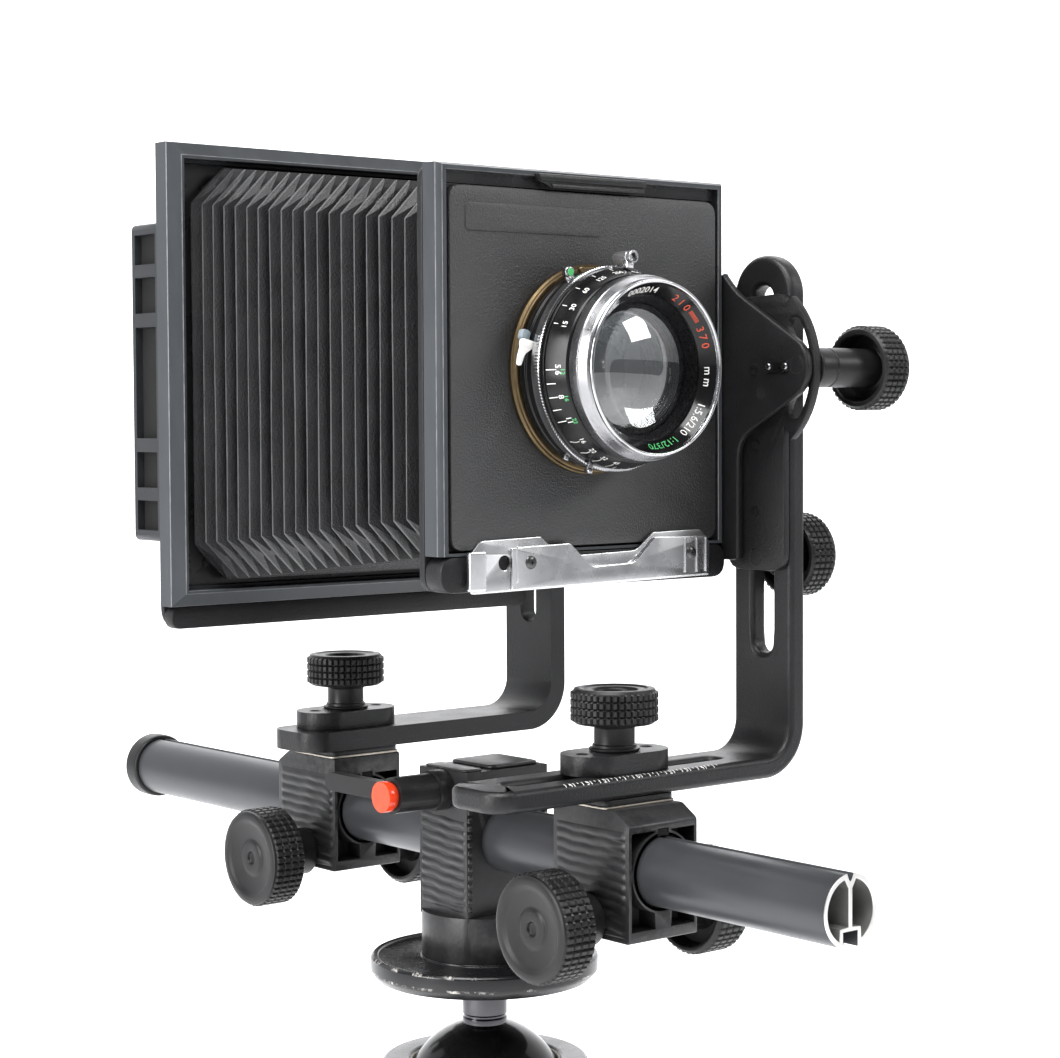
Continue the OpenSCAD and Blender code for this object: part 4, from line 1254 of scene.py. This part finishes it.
def rise_scale(side, body, y_edge, sign):
    """Ticks on the upright, from the edge inward along sign."""
    x = low(f"{side}_rise_slider").x + 14.45
    ticks = Shape()
    for k in range(15):
        size = 1.6 if k % 2 else 3.0
        ticks.slab([rect(size, 0.35, 0, y_edge + sign * (3.4 + size / 2), RAIL_Z + 110 + k * 5)], x - 0.08, x + 0.02,
                   on_x, 0)
    ticks.make(f"{side}_rise_scale", body, ["white_mark"], "powder_coat", recalc=False)


def clamp_sockets(side):
    clamp = f"{side}_swing_clamp"
    c = mid(clamp)
    dots = Shape()
    for sx in (-1, 1):
        dots.lathe(arc_profile([(0, -0.25), (2.0, -0.25), (2.3, 0.12), (2.9, 0.12), (3.0, -0.3)], 0.1),
                   (c.x + sx * 19.5, c.y, high(clamp).z), UP, 28)
    dots.make(f"{side}_swing_clamp_sockets", f"{side}_swing", ["matt_black"], "powder_coat")


shift_scale()
rise_scale("front", "front_arm", low("front_l_arm").y, 1)
clamp_sockets("front")
rise_scale("rear", "rear_swing", high("rear_l_arm").y, -1)
clamp_sockets("rear")


# ---------------------------------------------------------------- cheeks and sliders
TILT_Z = mid("front_tilt_knob").z
TILT_SLOT_R = 36.0
SLOT_MID, SLOT_HALF, SLOT_END = 36.1, 4.2, 33  # the slot's arc, half its width, and the angle where it ends
FRONT_PLATE_BACK = BOARD_Y + 16
REAR_PLATE_BACK = low("ground_glass_back").y - 0.15
CHEEK_EDGE = -3.2


def slider_plate(side, x0, x1, place, side_point):
    """Upright plate beside the frame, with the curved slot for the tilt knob."""
    node = f"{side}_rise_slider"
    base = low(node).z - TILT_Z
    outline = round_path([(23.4, -30, 3), (23.4, base, 9), (-14.6, base, 9), (-14.6, 33.5, 6), (24, 35.2, 5)], 3, 5)
    outline = outline[6:] + arc(43.9, 50, -50, 34) + outline[:6]
    u, v = spin(SLOT_MID, SLOT_END)
    slot = (arc(SLOT_MID + SLOT_HALF, -SLOT_END, SLOT_END, 22)
            + arc(SLOT_HALF, SLOT_END, SLOT_END + 180, 9, u, v)[1:-1]
            + arc(SLOT_MID - SLOT_HALF, SLOT_END, -SLOT_END, 20)
            + arc(SLOT_HALF, -SLOT_END - 180, -SLOT_END, 9, u, -v)[1:-1])
    plate = Shape()
    plate.slab([outline, slot], x0, x1, place, 0.7, 0, 2)
    for v in (-68.5, -36.5):
        screw(plate, side_point(x0, 4.5, v), TO_LEFT)
    plate.lathe([(3.7, 0.02), (3.95, 0.14), (4.2, 0.02)], side_point(x0, 4.5, mid(f"{side}_rise_knob").z - TILT_Z),
                TO_LEFT, 36, 1)
    # The plate takes the darker powder coat, whose tone is painted shade.
    plate.make(f"{side}_slider_plate", f"{side}_slider", ["powder_soft_painted_shade", "screw_black", "matt_black"], "powder_coat",
               (node,), sharp=30)


def side_parts(side):
    """The slider, and the cheek that carries the frame; u runs outward from the tilt axis."""
    front = side == "front"
    out = -1 if front else 1
    tilt_y = mid(f"{side}_tilt_knob").y - out * TILT_SLOT_R
    x0, x1 = low(f"{side}_rise_slider").x, high(f"{side}_rise_slider").x

    def side_point(w, u, v):
        return (w, tilt_y + out * u, TILT_Z + v)

    def place(u, v, w):
        return side_point(w, u, v)
    slider_plate(side, x0, x1, place, side_point)
    flank = (86.5 if front else 112.5) - 0.2
    low_v = RAIL_Z + 134 - TILT_Z
    u_in = out * ((FRONT_PLATE_BACK if front else REAR_PLATE_BACK) - tilt_y)
    face_u = min(u_in + (15.2 if front else 2.6), CHEEK_EDGE - 1)
    lug = arc(15, 64.3, -64.3, 18, 28, 0)
    path = [(u_in, low_v, 0.5), (u_in, 36, 0.5), (face_u - 0.5, 46, 0.5), (face_u, 45, 1),
            (CHEEK_EDGE - 1.5, 36.5, 7), (*lug[0], 0), (*lug[-1], 0), (CHEEK_EDGE, -34, 9), (CHEEK_EDGE, low_v, 3)]
    rounded = round_path(path, 0.5, 5)
    k = min(range(len(rounded)), key=lambda i: (Vector(rounded[i]) - Vector(lug[0])).length)
    cheek = Shape()
    cheek.slab([rounded[:k] + lug + rounded[k + 2:]], flank, x0 - 0.3, place, 1.1, 0, 3)
    screw(cheek, side_point(flank, 8.0, -1.0), TO_LEFT)
    cheek.lathe([(0, 0.03), (2.5, 0.03), (2.9, 0.1), (3.2, 0.02)], side_point(flank, 12.5, -12), TO_LEFT, 28, 2)
    cheek.lathe([(4.0, 0.02), (4.25, 0.14), (4.5, 0.02)], side_point(flank, 36, 1), TO_LEFT, 36, 0)
    cheek.slab([rect(14.5, 5.4, 1.4, 23.6, 0.6)], 0.0, 0.9, lambda u, v, w: side_point(flank - w, u, v), 0.3, 3)
    for u in (18.2, 29.0):
        cheek.lathe(arc_profile([(0, 1.7), (1.4, 1.6), (1.8, 0.9), (1.8, 0)], 0.3), side_point(flank, u, 0.6),
                    TO_LEFT, 24, 4)
    return cheek


def make_standards():
    # The cheeks and frame castings take the darker powder coat, whose tone is painted shade.
    names = ["powder_soft_painted_shade", "screw_black", "matt_black", "steel_dark", "satin_metal"]
    front = side_parts("front")
    back = FRONT_PLATE_BACK
    window = rect(140, 140, 0, 0, LENS_Z)
    front.slab([rect(173, 189, 8, 0, LENS_Z - 4.5, 5), window], back - 4, back, on_y, 0.7, 0)
    front.slab([rect(162.2, 162.2, 1, 0, LENS_Z, 2), window], BOARD_Y + 4.1, back - 4, on_y, 0.2, 0)
    front.slab([rect(173, 16, 7.9, 0, LENS_Z - 91, 8)], BOARD_Y, back - 4.05, on_y, 1.0, 0)
    rear = side_parts("rear")
    y0 = high("rear_bellows_frame").y + 0.1
    opening = rect(130, 106, 0, 0, LENS_Z)
    rear.slab([rect(225, 236, 10, 0, RAIL_Z + 218, 6), opening], y0, REAR_PLATE_BACK, on_y, 0.8, 0)
    rear.slab([rect(225, 11, 5.4, 0, RAIL_Z + 105.5, 6)], low("rear_frame").y, y0, on_y, 0.9, 0)
    for side, shape, out in (("front", front, -1), ("rear", rear, 1)):
        pivot = (high(f"{side}_frame").x - 4.0, mid(f"{side}_tilt_knob").y - out * TILT_SLOT_R, TILT_Z)
        shape.lathe([(0, 0), (5, 0), (5, 3.9), (0, 3.9)], pivot, TO_RIGHT, 32, 0)
        shape.make(f"{side}_frame_casting", f"{side}_frame", names, "powder_coat", (f"{side}_frame",), sharp=30)


make_standards()


# ---------------------------------------------------------------- ball head
def make_head():
    lo, hi, _ = box_of("head_platform")
    r = half_width("head_platform")
    at = (0, HEAD_Y, 0)
    plate = Shape()
    plate.lathe(arc_profile([(0, lo.z + 0.6), (r - 6.5, lo.z), (r - 3.2, lo.z + 0.4), (r - 0.4, lo.z + 3.6),
                             (r, lo.z + 4.6), (r, hi.z - 1.2), (r - 1.2, hi.z), (r - 3.4, hi.z - 0.4),
                             (r - 3.8, hi.z - 1.1), (31.2, hi.z - 1.1), (31.2, hi.z - 0.1), (0, hi.z - 0.1)], 0.5),
                at, UP, 160)
    plate.make("platform_disc", "ball", ["scuffed_black"], "head_metal", ("head_platform",), sharp=28)
    stem = Shape()
    z1 = high("ball_stem").z
    centre = RAIL_Z - 131
    rs = 11.0
    ball_r = half_width("ball_stem")
    start = math.asin(rs / ball_r)
    balls = [(ball_r * math.sin(a), centre + ball_r * math.cos(a)) for a in np.linspace(math.pi, start, 40)]
    balls[0] = (0, centre - ball_r)
    stem.lathe(balls, at, UP, 96, 0)
    top = balls[-1][1]
    stem.lathe(arc_profile([(rs, top), (rs, top + 2.6), (rs - 0.5, top + 3.1), (rs - 0.5, top + 4.2), (rs, top + 4.7),
                            (rs, z1 - 0.1), (0, z1 - 0.1)], 0.25), at, UP, 72, 1)
    stem.make("ball_and_stem", "ball", ["gloss_black", "steel"], "polished_steel", ("ball_stem",), sharp=30)
    lo, hi, _ = box_of("ball_collar")
    rc = half_width("ball_collar")
    collar = Shape()
    collar.lathe(arc_profile([(39.3, lo.z), (rc - 0.8, lo.z), (rc, lo.z + 0.8), (rc, hi.z - 2.2), (rc - 2.2, hi.z),
                              (38.4, hi.z), (37.6, hi.z - 0.4), (37.0, hi.z - 1.2)], 0.5), at, UP, 128, 0)
    collar.lathe([(37.0, hi.z - 1.2), (36.2, hi.z - 1.0), (35.7, hi.z - 1.6), (38.9, lo.z)], at, UP, 128, 1)
    collar.make("collar_ring", "housing", ["scuffed_black", "cream"], "head_metal", ("ball_collar",), sharp=30)
    lo, hi, c = box_of("ball_lock_knob")
    x1 = hi.x
    inner = arc_profile([(0, lo.x), (3, lo.x + 0.1), (3, x1 - 27.5), (12.6, x1 - 27.3), (13, x1 - 26.8),
                         (13, x1 - 20.2), (16.6, x1 - 19.8), (18, x1 - 18.8)], 0.4)
    outer = arc_profile([(17.6, x1 - 1.0), (16.2, x1), (9, x1), (8.4, x1 - 0.9), (0, x1 - 1)], 0.5)
    knurled_knob("ball_lock_knob", (0, c.y, c.z), (1, 0, 0), 19, x1 - 18, x1 - 2, inner, outer, "ball_lock_grip",
                 "ball_knob")


make_head()


LEG_R = 11.0
LOCK_TALL = 24


def leg_details(number, angle):
    """Two knurled twist locks and a foot ring on a leg, set along its own axis."""
    x, y = spin(48.4, angle)
    hinge = Vector((x, HEAD_Y + y, RAIL_Z - 225))
    axis = mid(f"foot_{number}") - hinge
    along = axis.normalized()
    length = axis.length
    r = LEG_R

    def wave(i, k):
        return -0.5 if 3 <= i <= 4 and k % 4 == 0 else 0
    locks = Shape()
    for share in (0.36, 0.68):
        h0 = length * share
        h1 = h0 + LOCK_TALL
        locks.lathe([(r, h0 - 1), (r + 1.2, h0 - 1), (r + 2.2, h0 + 1.5), (r + 2.6, h0 + 2.5), (r + 2.6, h1 - 6),
                     (r + 2.0, h1 - 5), (r + 1.4, h1), (r, h1)], hinge, along, 144, wave=wave)
    h0, h1 = length - 26, length - 20
    locks.lathe([(r, h0), (r + 0.9, h0 + 0.5), (r + 0.9, h1 - 0.5), (r, h1)], hinge, along, 64)
    locks.make(f"leg_{number}_locks", f"leg_{number}", ["knob"], "powder_coat", sharp=28)


for leg_number, leg_angle in ((1, 180), (2, 60), (3, -60)):
    leg_details(leg_number, leg_angle)


# ---------------------------------------------------------------- ground glass grid and back details
def make_back():
    """The ruled ground glass, matt black sheets on the floors of the back's pockets as painted shade, and its two
    spring strips with their screws.
    """
    c = mid("ground_glass")
    y = high("ground_glass").y + 0.04
    half = half_width("ground_glass")
    grid = Shape()
    lines = [rect(0.25, 98, 0, x, c.z) for x in range(-60, 61, 10) if abs(x) < half - 8]
    lines += [rect(122, 0.25, 0, 0, c.z + z) for z in range(-40, 41, 10)]
    for line in lines:
        grid.slab([line], y - 0.03, y + 0.03, on_y, 0)
    grid.make("focusing_grid", "back", ["matt_black"], "focusing_glass", recalc=False)
    b0, b1, middle = box_of("ground_glass_back")
    # Thin matt black sheets on the pocket floors: painted shade in the recesses.
    pockets = Shape()
    for z, tall in ((-67, 15), (-44, 18), (0, 56), (44, 18), (67, 15)):
        for sx in (-1, 1):
            x = sx * (half_width("ground_glass_back") - 4)
            pockets.slab([rect(19.5, tall - 0.2, 0, b1.y - 12.65, middle.z + z)], x - 0.02, x + sx * 0.12, on_x, 0)
    pockets.make("back_pocket_painted_shade", "back", ["matt_black"], "frame_plastic", recalc=False)
    bars = Shape()
    for sz in (-1, 1):
        z = c.z + sz * (b1.z - b0.z) / 2 - sz * 6.8
        bars.slab([rect(150, 5.0, 1.2, 0, z)], b1.y - 0.6, b1.y - 0.05, on_y, 0.2)
        for sx in (-1, 1):
            bars.lathe(arc_profile([(0, 0.04), (2.0, 0.0), (2.4, -0.5), (2.4, -1.6)], 0.3), (sx * 69, b1.y, z),
                       (0, 1, 0), 24, 1)
    bars.make("back_spring_strips", "back", ["powder", "satin_metal"], "frame_plastic", sharp=35)


make_back()


# ---------------------------------------------------------------- CAD nodes and their materials
DRESSED = {
    "tripod_apex": ("head_black", "head_metal", 0.8),
    "leg_hinge_pins": ("steel", "polished_steel", 0.3),
    "pan_base": ("head_black", "head_metal", 0.6),
    "ball_housing": ("head_black", "head_metal", 0.8),
    "rail_clamp_block": ("nylon", "black_nylon", 0.8),
    "clamp_lever": ("knob", "knob_plastic", 0.6),
    "lever_button": ("red", "red_plastic", 1.0),
    "focus_rack": ("rack_steel", "rack_steel", 0),
    "front_l_arm": ("powder", "powder_coat", ARM_BEVEL),
    "rear_l_arm": ("powder", "powder_coat", ARM_BEVEL),
    "front_swing_clamp": ("powder", "powder_coat", 1.6),
    "rear_swing_clamp": ("powder", "powder_coat", 2.6),
    "ground_glass_back": ("frame_dark", "frame_plastic", 0.9),
    "ground_glass": ("ground_glass", "focusing_glass", 0)}
for number in (1, 2, 3):
    DRESSED[f"leg_{number}"] = ("powder", "powder_coat", 0.5)
    DRESSED[f"foot_{number}"] = ("rubber", "rubber", 0)
for node, (mat, slot_name, bevel) in DRESSED.items():
    dress(node, mat, bevel)


# ---------------------------------------------------------------- floor, light and camera
def make_stage():
    """Pale floor that sweeps up into a backdrop far behind the camera's subject."""
    mesh = bpy.data.meshes.new("backdrop")
    half, back, radius, top = 14.0, 3.2, 1.6, 9.0
    sweep = [(back - radius + u, radius + v) for u, v in arc(radius, -90, 0, 17)]
    line = [(-half, 0.0)] + sweep + [(back, top)]
    turn = Matrix.Rotation(math.radians(-39), 4, "Z")
    points = [turn @ Vector((x, y, z)) for y, z in line for x in (-half, half)]
    faces = [(2 * i, 2 * i + 1, 2 * i + 3, 2 * i + 2) for i in range(len(line) - 1)]
    mesh.from_pydata(points, [], faces)
    mesh.shade_smooth()
    n = Nodes("paper")
    tone = n.noise(1.5, 2, 0.5)
    n.set(Base_Color=n.mix(tone, (0.86, 0.86, 0.865), (0.89, 0.89, 0.893)), Roughness=0.9,
          Emission_Color=(0.97, 0.98, 1.0), Emission_Strength=0.6)
    mesh.materials.append(n.mat)
    obj = bpy.data.objects.new("backdrop", mesh)
    bpy.context.scene.collection.objects.link(obj)


def area_light(name, place, target, size, power):
    data = bpy.data.lights.new(name, "AREA")
    data.shape = "RECTANGLE"
    data.size, data.size_y = size
    data.energy = power
    obj = bpy.data.objects.new(name, data)
    obj.location = place
    obj.rotation_euler = (Vector(target) - Vector(place)).to_track_quat("-Z", "Y").to_euler()
    bpy.context.scene.collection.objects.link(obj)


def make_lights():
    world = bpy.data.worlds.new("studio")
    bpy.context.scene.world = world
    world.use_nodes = True
    background = world.node_tree.nodes["Background"]
    background.inputs["Color"].default_value = (0.93, 0.96, 1.0, 1)
    background.inputs["Strength"].default_value = 0.25
    centre = (0, 0, 0.65)
    area_light("key_top", (-0.7, -0.5, 2.3), centre, (1.5, 1.1), 58)
    area_light("side_left", (-2.2, 0.2, 1.2), centre, (0.8, 1.6), 50)
    area_light("front_right", (1.45, -1.75, 1.85), (0, -0.1, 0.75), (1.0, 0.6), 17)
    area_light("sweep", (1.2, 1.6, 2.8), (1.8, 2.4, 0.4), (2.5, 2.0), 60)


def make_camera():
    data = bpy.data.cameras.new("camera")
    data.sensor_width = 36
    data.lens = 81.5
    data.clip_start, data.clip_end = 0.05, 40
    obj = bpy.data.objects.new("camera", data)
    yaw, pitch, roll = (math.radians(a) for a in (39.57, -2.75, -0.28))
    forward = Vector((math.sin(yaw) * math.cos(pitch), math.cos(yaw) * math.cos(pitch), math.sin(pitch)))
    right = Vector((math.cos(yaw), -math.sin(yaw), 0))
    up = right.cross(forward)
    right2 = right * math.cos(roll) + up * math.sin(roll)
    up2 = up * math.cos(roll) - right * math.sin(roll)
    rail_mid = (low("monorail").y + high("rail_end_cap").y) / 2
    eye = Vector((-724.17, -950.17 + rail_mid, RAIL_Z + 204.97)) * MM
    basis = Matrix((right2, up2, -forward)).transposed().to_4x4()
    obj.matrix_world = Matrix.Translation(eye) @ basis
    bpy.context.scene.collection.objects.link(obj)
    bpy.context.scene.camera = obj


make_stage()
make_lights()
make_camera()
bpy.context.scene.view_settings.view_transform = "Standard"
